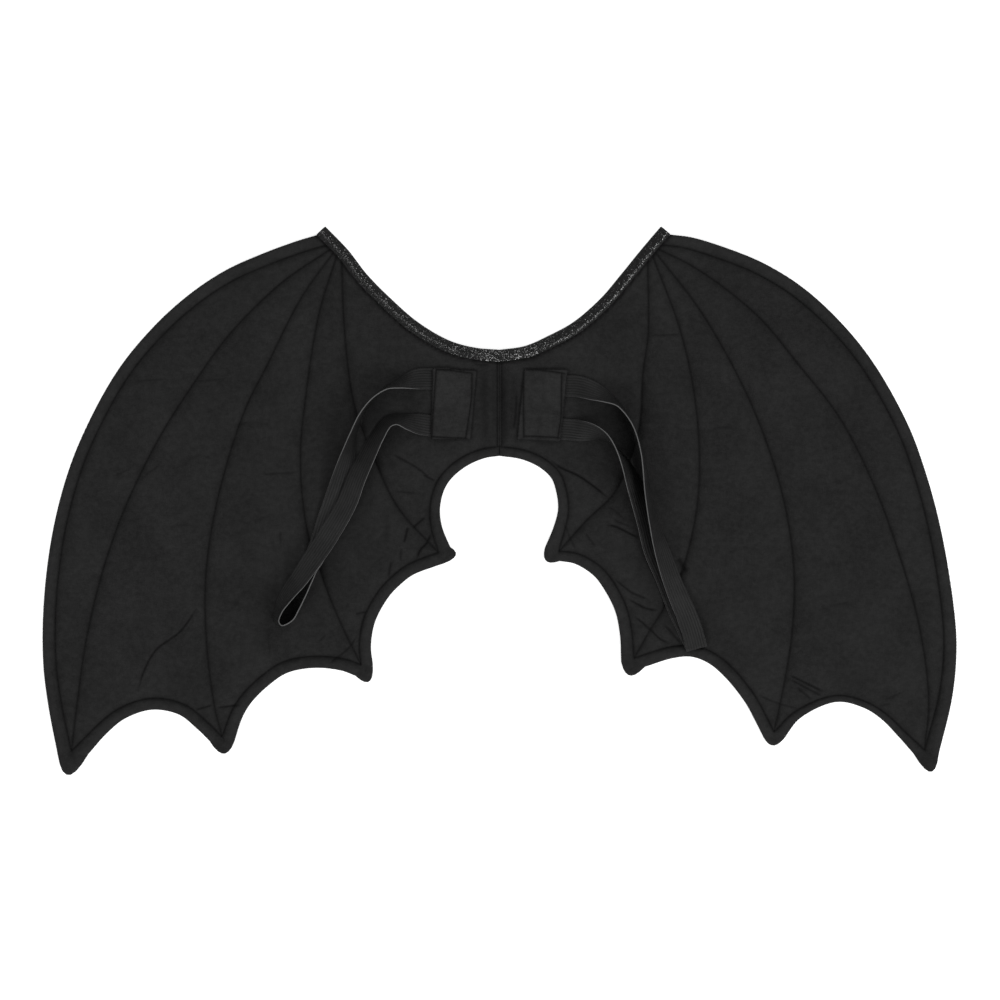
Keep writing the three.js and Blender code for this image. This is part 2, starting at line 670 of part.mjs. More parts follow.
// A patch lies on the panel and rises over the two strap ends that are sewn under it
function strapPatch(side) {
  const [outerTop, innerTop, innerLow, outerLow] = PATCHES[side].map((corner) => at(side, corner));
  const strands = STRAPS[side].flat();
  const ends = [strands[0], strands[strands.length - 1]].map(({ out, up }) => at(side, [out, up]));
  const rise = (place) => {
    const shares = ends.map((end) => {
      const beside = Math.abs(place.y - end.y) - STRAP_WIDTH / 2 - PATCH_MARGIN;
      const beyond = outward(side) * (end.x - place.x) - PATCH_MARGIN;
      return 1 - THREE.MathUtils.smoothstep(Math.max(beside, beyond), 0, PATCH_EDGE_SLOPE);
    });
    return BED + Math.max(...shares) * (STRAP_THICKNESS + CLEARANCE);
  };
  const net = new Net();
  const rows = even(PATCH_ROWS).map((down) =>
    even(PATCH_COLUMNS).map((across) => {
      const place = between(
        between(outerTop, innerTop, across),
        between(outerLow, innerLow, across),
        down,
      );
      const under = rise(place);
      return net.point(place, { top: under + PATCH_THICKNESS, under });
    }),
  );
  for (let row = 1; row < rows.length; row += 1) net.strip(rows[row - 1], rows[row]);
  return net.solid(`strap_patch_${side}`, PATCH_FELT);
}

const batWings = new THREE.Group();
for (const side of SIDES) batWings.add(wing(side), strapPatch(side), strap(side));
batWings.add(neckBinding());

// The origin is the middle of the underside of the box that holds the whole part
const box = new THREE.Box3().setFromObject(batWings, true);
const middle = box.getCenter(new THREE.Vector3());
batWings.position.set(-middle.x, -middle.y, -box.min.z);
batWings.updateMatrixWorld(true);

export default batWings;
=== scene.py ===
# Costume bat wings of quilted felt, lying on their front with the strap side up.
# Metres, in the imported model's frame: X along the span, Y from the wing tips to the neck, Z up.
# Left and right are as seen from the strap side. In the tables a point is (out, up): out is a share
# of the half span from the centre seam, and up is a share of the height from the lowest tip.
import math

import bpy
import numpy as np
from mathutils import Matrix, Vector, noise
from mathutils.bvhtree import BVHTree
from mathutils.geometry import delaunay_2d_cdt
from mathutils.kdtree import KDTree


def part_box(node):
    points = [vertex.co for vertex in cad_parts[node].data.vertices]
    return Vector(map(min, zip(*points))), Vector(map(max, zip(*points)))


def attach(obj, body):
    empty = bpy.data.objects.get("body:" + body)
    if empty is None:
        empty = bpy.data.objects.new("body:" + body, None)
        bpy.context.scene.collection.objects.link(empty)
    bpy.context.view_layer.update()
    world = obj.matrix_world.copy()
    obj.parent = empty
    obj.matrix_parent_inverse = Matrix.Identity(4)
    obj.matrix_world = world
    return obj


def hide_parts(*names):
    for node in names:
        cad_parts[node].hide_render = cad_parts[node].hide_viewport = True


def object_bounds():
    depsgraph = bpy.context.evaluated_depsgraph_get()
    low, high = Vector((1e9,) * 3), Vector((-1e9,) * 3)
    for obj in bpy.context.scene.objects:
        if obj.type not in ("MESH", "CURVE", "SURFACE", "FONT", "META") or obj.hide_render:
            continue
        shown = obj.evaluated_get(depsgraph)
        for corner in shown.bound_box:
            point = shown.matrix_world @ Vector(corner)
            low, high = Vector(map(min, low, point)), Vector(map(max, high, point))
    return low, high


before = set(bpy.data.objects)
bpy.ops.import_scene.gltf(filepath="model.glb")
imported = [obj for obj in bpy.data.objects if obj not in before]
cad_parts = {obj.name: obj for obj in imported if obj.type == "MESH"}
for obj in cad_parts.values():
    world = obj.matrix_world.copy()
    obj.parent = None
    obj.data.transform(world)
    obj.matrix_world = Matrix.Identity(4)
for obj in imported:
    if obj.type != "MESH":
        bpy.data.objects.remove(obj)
cad_low, cad_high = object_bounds()

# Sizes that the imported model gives. The curves stay a little inside the span and height that the
# tables are shares of. The straps and their patches lie at the height of the bed.
SPAN_REACHED = 0.9991
HEIGHT_REACHED = 0.997
HALF_SPAN = (cad_high.x - cad_low.x) / 2 / SPAN_REACHED
HEIGHT = (cad_high.y - cad_low.y) / HEIGHT_REACHED
SEAM_X = (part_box("wing_left")[1].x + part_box("wing_right")[0].x) / 2
LOW_Y = cad_low.y
FIELD_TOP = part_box("wing_left")[1].z
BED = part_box("strap_patch_left")[0].z

# The quilting: its sewn rim, its rounded edges, the heights and the swell of its felt, how deep and how
# wide the felt sinks along a stitch line, and where the seam and the leading edge are stitched
RIM_WIDTH = 0.0112
EDGE_ROUNDING = 0.0034
SEAM_ROUNDING = 0.0008
MIDDLE_HEIGHT = 0.0021
STITCHED_TOP = 0.0034
RIM_TOP = 0.0051
FELT_SWELL = 0.009
RIM_SWELL = 0.0024
GROOVE_DEPTH = 0.0015
FIELD_GROOVE = 0.0026
RIM_GROOVE = 0.0016
UNDERSIDE_DRAW = 0.0006
UNDERSIDE_REACH = 0.007
THINNEST = 0.001
THIN_REACH = 0.002
SEAM_STITCH = 0.0021
LEADING_ROOT = 0.06
CORNER_PULL = 6

# A stitch of the thread. Its ends dive and its middle stands proud by shares of its thickness, and it
# is fitted to the cloth at its middle and at a share of its length to both sides.
STITCH_PITCH = 0.0032
STITCH_LENGTH = 0.0027
STITCH_THICKNESS = 0.0005
STITCH_DIVE = 0.4
STITCH_PROUD = 0.1
STITCH_FOOT = 0.4

# How finely a wing is laid out: steps, how far its points stray from even rows, the rows beside its
# edge and its lines, and the gaps that other points keep from both
EDGE_STEP = 0.0015
TIP_STEPS = 8
FIELD_STEP = 0.0026
FIELD_STRAY = 0.12
EDGE_ROWS = (0.0004, 0.0011, 0.002)
EDGE_ROW_SPREAD = 0.15
EDGE_ROW_GAP = 0.0008
LINE_ROWS = (0.0008, 0.0017)
LINE_ROW_SPREAD = 0.9
LINE_ROW_GAP = 0.0026
FIELD_EDGE_GAP = 0.0032
FIELD_LINE_GAP = 0.0026
WING_SEED = {"left": 3, "right": 4}

# Steps of the lines that distances are measured from, and gaps too small to count
NEAREST_STEP = 0.0004
FREE_EDGE_STEP = 0.001
GROUND_STEP = 0.003
GROUND_NEAREST_STEP = 0.002
GROUND_PATCH_ROWS = 20
SAME_PLACE = 1e-6
AT_EDGE = 1e-5
NO_GAP = 1e-4

# The slack of the felt between its seams, found by simulation on a sheet enlarged to a tidier scale.
# The cloth is a little wider than its place, which is a negative shrink.
SLACK_STEP = 0.0036
SLACK_GAP = 0.6 * SLACK_STEP
SLACK_SEED = {"left": 5, "right": 6}
SLACK_HELD = 0.0002
SLACK_START = 0.004
SLACK_START_GRAIN = 90
SLACK_SCALE = 10
SLACK_FRAMES = 20
SLACK_CLOTH = {
    "quality": 6, "mass": 0.3,
    "tension_stiffness": 30, "compression_stiffness": 30, "shear_stiffness": 12, "bending_stiffness": 4,
    "tension_damping": 15, "compression_damping": 15, "shear_damping": 10, "bending_damping": 2,
    "vertex_group_mass": "held", "shrink_min": -0.006,
    "use_pressure": True, "uniform_pressure_force": 0.15,
}
HEM_SKIPPED = 4
SLACK_CAP = 0.0012

# Creases and ripples of the felt, and how near to the hem, the edge and the straps it lies flat
CREASE_DEPTH = 0.0013
CREASE_WIDTH = 0.001
CREASE_REACH = 3
CREASE_ENDS = 6
CREASE_STEP = 0.0003
CREASE_FADE = 0.003
RIPPLE = 0.00018
RIPPLE_GRAIN = 120
HEM_FADE = 0.008
EDGE_FADE = 0.004
PRESSED_FADE = (0.014, 0.03)
PRESSED_GAP = 0.0003

# Half widths of the painted marks in the felt's material, and how far in some of them lie: painted shade
# along a stitch line in the rim and in the field, the wider painted shade round it, painted shade at the
# foot of the binding and a painted highlight along the middle of the rim
RIM_STITCH_SHADE = 0.001
FIELD_STITCH_SHADE = 0.0013
SHADE_MARK = 0.0026
SHADE_FORCE = 0.35
HEM_SHADE = 0.0013
HEM_SHADE_IN = 0.0011
RIM_HIGHLIGHT = 0.003
RIM_HIGHLIGHT_IN = 0.0045

# The binding, and how the felt is pinched inside it. The inside of its fold is a step of cloth.
BINDING_WIDTH = 0.0115
BINDING_CLEARANCE = 0.0005
BINDING_CLOTH = 0.0011
BINDING_STEP = 0.0012
BINDING_SAMPLES = 8
CLEARANCE = 0.00035
TUCK_DEPTH = 0.00145
BOUND_FADE = 0.005
BOUND_MIDDLE = 0.0024
BOUND_UNDERSIDE = 0.00145
BINDING_TOP = STITCHED_TOP + CLEARANCE + BINDING_CLOTH
BINDING_CROWN = 0.0009
BINDING_CREASE_ANGLE = 50
BINDING_RIDGE = {"left": 0.62, "right": 0.78}
# The stretch between the two neck corners in which the ridge moves over
RIDGE_SHIFT = (0.3, 0.7)
# The binding's outer face from its lower hem round the neck edge: depth as a share of its width,
# height as a share of its height without the crown, crown and turn of the hem as shares of theirs
BINDING_FACE = [
    (1, 0, 0, 0), (0.16, 0, 0, 0), (0.03, 0.2, 0, 0), (0, 0.5, 0, 0), (0.05, 0.82, 0, 0),
    (0.2, 1, 0, 0), ("ridge", 1, 1, 0), (0.93, 1, 0.2, 0), (1, 1, 0, 0.3),
]
BINDING_LINING = [
    (BINDING_WIDTH, BINDING_TOP - BINDING_CLOTH), (BINDING_CLOTH, BINDING_TOP - BINDING_CLOTH),
    (BINDING_CLOTH, BINDING_CLOTH), (BINDING_WIDTH, BINDING_CLOTH),
]
# The binding's unevenness: short puckers and longer slack lift it, and the slack sways its hem. Both
# set in from a share of its height and of its width on.
PUCKER_LIFT = 0.00035
PUCKER_GRAIN = 160
SLACK_LIFT = 0.0005
SLACK_GRAIN = 45
LIFT_FROM = 0.6
HEM_SWAY = 0.0004
SWAY_FROM = 0.5
# Where the glitter crowds: a strip of extra flakes along the ridge as a painted highlight, paler and wider
# in one place near the middle
RIDGE_HIGHLIGHT = 0.1
MIDDLE_STRIP_AT = 0.52
MIDDLE_STRIP = 0.1
MIDDLE_STRIP_FADE = 0.5
MIDDLE_STRIP_FORCE = 0.36

# The strap patches: sizes, steps, gaps, unevenness, the dip at their stitches, and their painted shade
# along the stitches and painted shadow at their edges
PATCH_THICKNESS = 0.0016
PATCH_MARGIN = 0.0016
PATCH_SLOPE = 0.006
PATCH_ROUNDING = 0.0009
PATCH_PROUD = 0.0002
PATCH_STEP = 0.0011
PATCH_STITCH_STEP = 0.0008
PATCH_EDGE_STEP = 0.0009
PATCH_EDGE_GAP = 0.0007
PATCH_LINE_GAP = 0.0006
PATCH_SEED = 9
PATCH_SWAY = 0.0003
PATCH_SWAY_GRAIN = 160
PATCH_SWELL = 0.00025
PATCH_SWELL_GRAIN = 150
PATCH_DIP = 0.0007
PATCH_DIP_WIDTH = 0.0016
PATCH_STITCH_SHADE = 0.0011
PATCH_EDGE_SHADE = 0.0006
PATCH_EDGE_SHADE_FORCE = 0.8

# The elastic. Its width sways a little, its ribs end at a plain margin, and its edge is rounded: how far
# in each point lies, its height as a share of half the thickness, and how pale it is.
STRAP_WIDTH = 0.02
STRAP_THICKNESS = 0.0012
STRAP_SWAY = 0.0004
STRAP_SWAY_GRAIN = 25
STRAP_STEP = 0.0022
STRAP_SAMPLES = 40
STRAP_FOLD_STEPS = 14
STRAP_RIBS = 8
STRAP_RIB_DEPTH = 0.0002
STRAP_PICK = 0.0009
STRAP_MARGIN = 0.0005
STRAP_EDGE = [
    (0.00012, 0.9, 0.35), (0.00004, 0.6, 0.85), (0, 0, 1), (0.00004, -0.6, 0.85), (0.00012, -0.9, 0.35),
]

# The photograph's view: its middle on the wings, the width that it shows, and the camera's lens and
# sensor in millimetres. The floor glows and light comes from all round, and a lamp is its name, place,
# size and power.
VIEW_CENTRE = (0.00064, 0.0008)
VIEW_WIDTH = 0.9508
LENS = 100
SENSOR = 36
FLOOR_SIZE = 12
FLOOR_GLOW = 0.45
ROOM_LIGHT = 0.43
LIGHTS = [
    ("lower left softbox", (-2.4, -2.4, 2.1), 2, 77),
    ("lower right softbox", (2.4, -2.4, 2.1), 2, 91),
    ("upper right softbox", (2.4, 2.4, 2.1), 2, 57),
    ("upper left softbox", (-2.4, 2.4, 2.1), 2, 20),
]

SIDES = ("left", "right")

# The neck edge from the outer neck corner to the centre seam
NECK = {
    "left": [
        (0.381, 0.997), (0.331, 0.954), (0.29, 0.91), (0.239, 0.867),
        (0.178, 0.823), (0.11, 0.79), (0.054, 0.777), (0, 0.773),
    ],
    "right": [
        (0.353, 0.997), (0.309, 0.954), (0.266, 0.91), (0.222, 0.867),
        (0.161, 0.823), (0.106, 0.798), (0.056, 0.78), (0, 0.773),
    ],
}

# The outer edge: the leading edge, three scallops and the lower arch, each from tip to tip.
# tip is the rounded point that ends a stretch, corner the stitch corner inside it, and rim the
# width of the sewn rim as a share of the full one: the right outer scallop is rolled under.
EDGES = {
    "left": [
        {
            "rows": [
                (0.445, 0.97), (0.523, 0.946), (0.602, 0.916), (0.681, 0.872), (0.76, 0.812),
                (0.838, 0.732), (0.917, 0.609), (0.956, 0.518), (0.983, 0.417), (0.998, 0.3),
                (0.998, 0.201), (0.987, 0.126), (0.967, 0.039),
            ],
            "tip": (0.943, 0), "corner": (0.937, 0.044), "rim": 1,
        },
        {
            "rows": [
                (0.899, 0.039), (0.858, 0.077), (0.819, 0.103), (0.76, 0.119), (0.701, 0.11),
                (0.661, 0.084), (0.635, 0.063),
            ],
            "tip": (0.604, 0.039), "corner": (0.607, 0.07), "rim": 1,
        },
        {
            "rows": [
                (0.58, 0.061), (0.563, 0.104), (0.543, 0.132), (0.504, 0.164), (0.464, 0.186),
                (0.405, 0.195), (0.346, 0.19), (0.316, 0.181),
            ],
            "tip": (0.285, 0.17), "corner": (0.303, 0.201), "rim": 1,
        },
        {
            "rows": [
                (0.277, 0.202), (0.281, 0.235), (0.272, 0.279), (0.244, 0.322), (0.22, 0.344),
                (0.189, 0.364), (0.139, 0.38),
            ],
            "tip": (0.097, 0.397), "corner": (0.134, 0.405), "rim": 1,
        },
        {
            "rows": [
                (0.108, 0.415), (0.126, 0.453), (0.13, 0.485), (0.121, 0.518), (0.104, 0.54),
                (0.071, 0.562), (0.032, 0.576), (0, 0.58),
            ],
            "corner": (0, 0.597), "rim": 0.85,
        },
    ],
    "right": [
        {
            "rows": [
                (0.421, 0.977), (0.499, 0.957), (0.578, 0.93), (0.657, 0.89), (0.736, 0.832),
                (0.814, 0.754), (0.893, 0.638), (0.932, 0.551), (0.965, 0.449), (0.992, 0.319),
                (1, 0.235), (0.991, 0.144), (0.961, 0.039),
            ],
            "tip": (0.943, 0.006), "corner": (0.93, 0.046), "rim": 1,
        },
        {
            "rows": [
                (0.906, 0.039), (0.873, 0.07), (0.834, 0.103), (0.795, 0.123), (0.736, 0.133),
                (0.657, 0.103), (0.622, 0.066),
            ],
            "tip": (0.598, 0.054), "corner": (0.6, 0.079), "rim": 0.55,
        },
        {
            "rows": [
                (0.578, 0.068), (0.558, 0.101), (0.539, 0.13), (0.499, 0.173), (0.46, 0.202),
                (0.421, 0.215), (0.381, 0.213), (0.318, 0.197),
            ],
            "tip": (0.285, 0.181), "corner": (0.294, 0.213), "rim": 1,
        },
        {
            "rows": [
                (0.266, 0.206), (0.263, 0.257), (0.252, 0.3), (0.224, 0.344), (0.204, 0.364),
                (0.165, 0.384), (0.132, 0.389),
            ],
            "tip": (0.102, 0.389), "corner": (0.13, 0.407), "rim": 1,
        },
        {
            "rows": [
                (0.099, 0.413), (0.119, 0.453), (0.128, 0.485), (0.123, 0.518), (0.113, 0.54),
                (0.086, 0.56), (0.047, 0.574), (0, 0.58),
            ],
            "corner": (0, 0.597), "rim": 0.85,
        },
    ],
}

# The sewn ribs, each from the neck edge to the stitch corner of its tip.
# root is where a rib starts, as a share of the way from the neck corner to the centre seam.
RIBS = {
    "left": [
        (0.085, [
            (0.478, 0.894), (0.591, 0.801), (0.67, 0.711), (0.744, 0.614), (0.816, 0.493),
            (0.867, 0.375), (0.904, 0.248), (0.923, 0.139),
        ]),
        (0.105, [
            (0.432, 0.87), (0.51, 0.743), (0.558, 0.662), (0.615, 0.509), (0.642, 0.371),
            (0.642, 0.251), (0.624, 0.126),
        ]),
        (0.125, [
            (0.395, 0.839), (0.425, 0.683), (0.436, 0.58), (0.425, 0.464), (0.392, 0.369),
            (0.349, 0.279),
        ]),
        (0.16, [(0.342, 0.843), (0.333, 0.752), (0.316, 0.669), (0.266, 0.558), (0.22, 0.484)]),
    ],
    "right": [
        (0.085, [
            (0.434, 0.919), (0.563, 0.836), (0.657, 0.743), (0.742, 0.652), (0.816, 0.533),
            (0.88, 0.387), (0.919, 0.268), (0.939, 0.137),
        ]),
        (0.105, [
            (0.44, 0.843), (0.53, 0.711), (0.587, 0.598), (0.624, 0.491), (0.644, 0.373),
            (0.639, 0.253), (0.613, 0.126),
        ]),
        (0.125, [
            (0.399, 0.798), (0.432, 0.652), (0.434, 0.504), (0.403, 0.382), (0.362, 0.308),
            (0.328, 0.262),
        ]),
        (0.16, [(0.325, 0.801), (0.314, 0.734), (0.303, 0.623), (0.257, 0.52), (0.189, 0.462)]),
    ],
}

# Creases and soft folds that show in the felt: how strong each one is, its width in shares of a
# fine crease, and its line
CREASES = {
    "left": [
        (0.9, 1, [(0.657, 0.309), (0.698, 0.262), (0.751, 0.228), (0.777, 0.19), (0.792, 0.15)]),
        (0.9, 1, [(0.666, 0.119), (0.628, 0.128)]),
        (0.9, 1, [(0.62, 0.123), (0.567, 0.128)]),
        (0.7, 1, [(0.375, 0.202), (0.331, 0.231), (0.309, 0.257)]),
        (0.5, 1, [(0.397, 0.242), (0.379, 0.257)]),
        (0.8, 1.2, [(0.316, 0.293), (0.292, 0.297)]),
        (1, 1.2, [(0.191, 0.449), (0.163, 0.469)]),
        (1, 1.2, [(0.2, 0.453), (0.209, 0.422)]),
        (1.1, 1.2, [(0.148, 0.442), (0.16, 0.422), (0.173, 0.41), (0.182, 0.392)]),
        (0.6, 1, [(0.215, 0.415), (0.217, 0.387)]),
        (0.8, 1, [(0.237, 0.39), (0.242, 0.362)]),
        (0.35, 3, [(0.247, 0.482), (0.247, 0.422)]),
        (0.5, 1, [(0.23, 0.516), (0.18, 0.513)]),
        (0.9, 1, [(0.169, 0.547), (0.141, 0.535)]),
        (0.7, 1, [(0.238, 0.585), (0.217, 0.576), (0.183, 0.56), (0.145, 0.536)]),
        (0.4, 1, [(0.801, 0.716), (0.727, 0.72)]),
        (0.4, 1, [(0.666, 0.716), (0.6, 0.72)]),
        (0.4, 1, [(0.843, 0.544), (0.801, 0.56)]),
        (0.4, 1, [(0.777, 0.544), (0.744, 0.564)]),
        (0.45, 1, [(0.523, 0.547), (0.438, 0.551)]),
        (0.4, 1, [(0.48, 0.446), (0.478, 0.417)]),
        (0.4, 1, [(0.506, 0.26), (0.502, 0.217)]),
        (0.35, 1.5, [(0.583, 0.632), (0.545, 0.642), (0.5, 0.637)]),
        (0.3, 1.5, [(0.69, 0.566), (0.66, 0.581), (0.63, 0.577)]),
        (0.3, 1.5, [(0.54, 0.462), (0.5, 0.471)]),
        (0.3, 1.5, [(0.73, 0.448), (0.69, 0.456), (0.65, 0.449)]),
        (0.3, 2, [(0.585, 0.3), (0.56, 0.33), (0.53, 0.335)]),
        (0.55, 4, [(0.033, 0.747), (0.033, 0.683), (0.03, 0.6)]),
        (0.6, 1, [(0.055, 0.746), (0.022, 0.746)]),
        (0.3, 2, [(0.015, 0.73), (0.013, 0.66), (0.017, 0.61)]),
    ],
    "right": [
        (1.1, 1.1, [(0.11, 0.573), (0.132, 0.56), (0.173, 0.544), (0.198, 0.53), (0.24, 0.503)]),
        (0.5, 1.1, [(0.235, 0.49), (0.257, 0.478), (0.275, 0.463)]),
        (1.1, 1.1, [(0.233, 0.456), (0.257, 0.451), (0.279, 0.442), (0.306, 0.43)]),
        (0.6, 1, [(0.248, 0.465), (0.285, 0.452)]),
        (0.6, 1, [(0.186, 0.441), (0.21, 0.415)]),
        (0.5, 1, [(0.138, 0.463), (0.167, 0.407)]),
        (0.8, 1, [(0.25, 0.358), (0.266, 0.347), (0.288, 0.333), (0.307, 0.326), (0.328, 0.319)]),
        (0.9, 1, [(0.28, 0.321), (0.3, 0.312), (0.32, 0.304), (0.347, 0.3)]),
        (0.9, 1, [(0.29, 0.291), (0.307, 0.281), (0.332, 0.263), (0.351, 0.248), (0.375, 0.238)]),
        (0.8, 1.2, [(0.36, 0.275), (0.398, 0.239)]),
        (0.9, 1, [(0.631, 0.184), (0.709, 0.152)]),
        (0.8, 1, [(0.631, 0.177), (0.709, 0.142)]),
        (0.7, 1, [(0.648, 0.162), (0.683, 0.137)]),
        (0.6, 1, [(0.565, 0.146), (0.613, 0.13), (0.657, 0.121)]),
        (0.5, 1, [(0.84, 0.137), (0.88, 0.152)]),
        (0.4, 1, [(0.826, 0.125), (0.856, 0.131)]),
        (0.5, 1, [(0.329, 0.799), (0.395, 0.801)]),
        (1, 2.5, [(0.388, 0.396), (0.4, 0.382), (0.408, 0.366)]),
        (0.6, 1.5, [(0.383, 0.392), (0.41, 0.38)]),
        (0.5, 4, [(0.009, 0.74), (0.008, 0.68), (0.015, 0.602)]),
        (0.9, 1.5, [(0.037, 0.7), (0.035, 0.655), (0.03, 0.625)]),
        (0.4, 3, [(0.03, 0.735), (0.031, 0.69), (0.023, 0.62)]),
        (0.3, 1.5, [(0.45, 0.62), (0.48, 0.632), (0.52, 0.628)]),
        (0.3, 1.5, [(0.49, 0.4), (0.53, 0.414), (0.57, 0.409)]),
        (0.3, 2, [(0.73, 0.53), (0.77, 0.545)]),
        (0.3, 1.5, [(0.7, 0.3), (0.75, 0.313), (0.78, 0.306)]),
    ],
}

# The strap patches: their corners from the outer upper one round to the outer lower one,
# and the lines of their box stitching
PATCHES = {
    "left": {
        "corners": [(0.146, 0.739), (0.05, 0.735), (0.063, 0.61), (0.15, 0.61)],
        "stitches": [
            [(0.138, 0.738), (0.143, 0.682), (0.148, 0.612)],
            [(0.138, 0.736), (0.11, 0.735), (0.06, 0.73)],
            [(0.06, 0.73), (0.061, 0.69), (0.063, 0.673), (0.074, 0.611)],
            [(0.147, 0.615), (0.11, 0.613), (0.072, 0.612)],
        ],
    },
    "right": {
        "corners": [(0.149, 0.737), (0.054, 0.738), (0.038, 0.61), (0.133, 0.606)],
        "stitches": [
            [(0.06, 0.736), (0.08, 0.736), (0.113, 0.733), (0.142, 0.729)],
            [(0.136, 0.731), (0.135, 0.69), (0.134, 0.649), (0.127, 0.612)],
            [(0.053, 0.733), (0.0524, 0.682), (0.053, 0.614)],
            [(0.053, 0.616), (0.09, 0.615), (0.13, 0.613)],
        ],
    },
}

# Centre lines of the two elastic loops, from their upper end under the patch to their lower end.
# A row is (out, up, lean, lift): lean is the turn of the band about its centre line, where it lies flat
# at 0, 180 and 360 and stands on edge between them, and lift is how far it is held up, as a share of
# its width.
# A loop in two strands is folded back on itself where the first one ends.
STRAPS = {
    "left": [
        [
            (0.108, 0.72, 0, 0), (0.152, 0.72, 0, 0), (0.168, 0.72, 4, 0), (0.187, 0.718, 24, 0),
            (0.215, 0.711, 60, 0), (0.245, 0.703, 80, 0), (0.275, 0.684, 90, 0),
            (0.3, 0.656, 96, 0), (0.317, 0.622, 104, 0), (0.327, 0.591, 122, 0),
            (0.341, 0.548, 150, 0), (0.358, 0.504, 170, 0), (0.376, 0.462, 178, 0),
            (0.39, 0.424, 181, 0), (0.404, 0.395, 200, 0), (0.411, 0.377, 225, 0),
            (0.413, 0.36, 246, 0), (0.415, 0.349, 256, 0), (0.418, 0.337, 264, 0),
            (0.427, 0.317, 269, 0), (0.436, 0.302, 269, 0), (0.447, 0.286, 268, 0),
            (0.46, 0.277, 270, 0), (0.474, 0.272, 277, 0), (0.485, 0.281, 286, 0),
            (0.481, 0.301, 296, 0.05), (0.47, 0.319, 308, 0.15), (0.456, 0.336, 318, 0.3),
            (0.437, 0.356, 328, 0.49), (0.41, 0.389, 340, 0.45), (0.375, 0.433, 348, 0.26),
            (0.333, 0.493, 340, 0.21), (0.31, 0.542, 334, 0.23), (0.288, 0.58, 323, 0.18),
            (0.267, 0.615, 315, 0.06), (0.245, 0.641, 307, 0), (0.224, 0.646, 302, 0),
            (0.194, 0.641, 324, 0), (0.17, 0.637, 352, 0), (0.152, 0.635, 360, 0),
            (0.108, 0.634, 360, 0),
        ],
    ],
    "right": [
        [
            (0.108, 0.707, 0, 0), (0.15, 0.707, 0, 0), (0.172, 0.706, 3, 0), (0.2, 0.699, 22, 0),
            (0.232, 0.687, 54, 0), (0.26, 0.672, 77, 0), (0.291, 0.634, 86, 0),
            (0.31, 0.586, 82, 0), (0.324, 0.51, 70, 0), (0.338, 0.453, 60, 0),
            (0.358, 0.399, 38, 0.02), (0.376, 0.355, 27, 0.05), (0.392, 0.322, 17, 0.09),
            (0.41, 0.287, 7, 0.12), (0.421, 0.261, 2, 0.12), (0.43, 0.233, 0, 0.12),
        ],
        [
            (0.43, 0.233, 180, 0), (0.409, 0.27, 180, 0), (0.392, 0.299, 180, 0),
            (0.363, 0.36, 175, 0), (0.337, 0.409, 166, 0), (0.321, 0.459, 158, 0),
            (0.304, 0.504, 148, 0), (0.292, 0.532, 138, 0), (0.279, 0.559, 122, 0),
            (0.26, 0.586, 100, 0), (0.24, 0.607, 82, 0), (0.223, 0.617, 66, 0),
            (0.203, 0.622, 42, 0), (0.179, 0.625, 16, 0), (0.162, 0.627, 2, 0),
            (0.15, 0.628, 0, 0), (0.098, 0.63, 0, 0),
        ],
    ],
}


def outward(side):
    """The way from the centre seam to the side's tip, along X."""
    return -1 if side == "left" else 1


def place(side, shares):
    """Plan positions of a table's (out, up) points."""
    shares = np.asarray(shares, float)
    across = SEAM_X + outward(side) * shares[:, 0] * HALF_SPAN
    return np.column_stack([across, LOW_Y + shares[:, 1] * HEIGHT])


def curve(points, samples=20):
    """A smooth curve through the points, as rows of samples."""
    points = np.asarray(points, float)
    path = np.vstack([2 * points[0] - points[1], points, 2 * points[-1] - points[-2]])
    gaps = np.sqrt(np.linalg.norm(np.diff(path, axis=0), axis=1))
    share = np.linspace(0, 1, samples, endpoint=False)[:, None]
    stretches = []
    for index in range(1, len(points)):
        span = gaps[index] if gaps[index] > NO_GAP else 1
        before = gaps[index - 1] if gaps[index - 1] > NO_GAP else span
        after = gaps[index + 1] if gaps[index + 1] > NO_GAP else span
        ahead, start, end, beyond = path[index - 1 : index + 3]
        leave = (start - ahead) / before - (end - ahead) / (before + span) + (end - start) / span
        arrive = (end - start) / span - (beyond - start) / (span + after) + (beyond - end) / after
        leave, arrive = leave * span, arrive * span
        bend = 3 * (end - start) - 2 * leave - arrive
        twist = 2 * (start - end) + leave + arrive
        stretches.append(start + leave * share + bend * share**2 + twist * share**3)
    return np.vstack([*stretches, points[-1:]])


def lengths(line):
    """Length along the line at each of its points, in plan."""
    steps = np.linalg.norm(np.diff(line[:, :2], axis=0), axis=1)
    return np.concatenate([[0], np.cumsum(steps)])


def even(line, step):
    """The same line in even steps of about the given length."""
    along = lengths(line)
    stations = np.linspace(0, along[-1], max(2, round(along[-1] / step) + 1))
    return np.column_stack([np.interp(stations, along, column) for column in line.T])


def point_at(line, share):
    """The point at a share of the line's length."""
    along = lengths(line)
    return np.array([np.interp(share * along[-1], along, column) for column in line.T])


def looped(outline):
    """The outline with its first point again at its end."""
    return np.vstack([outline, outline[:1]])


def left_of(line):
    """Unit directions to the left of the line's travel."""
    along = np.gradient(line, axis=0)
    along /= np.linalg.norm(along, axis=1, keepdims=True)
    return np.column_stack([-along[:, 1], along[:, 0]])


def neck_line(side, depth):
    """The neck edge moved towards the panel."""
    line = even(curve(place(side, NECK[side])), EDGE_STEP)
    line = line + left_of(line) * outward(side) * depth
    line[-1, 0] = SEAM_X
    return line


def hem_line(side):
    """The line that the ribs start from, just clear of the binding."""
    return neck_line(side, BINDING_WIDTH + BINDING_CLEARANCE)


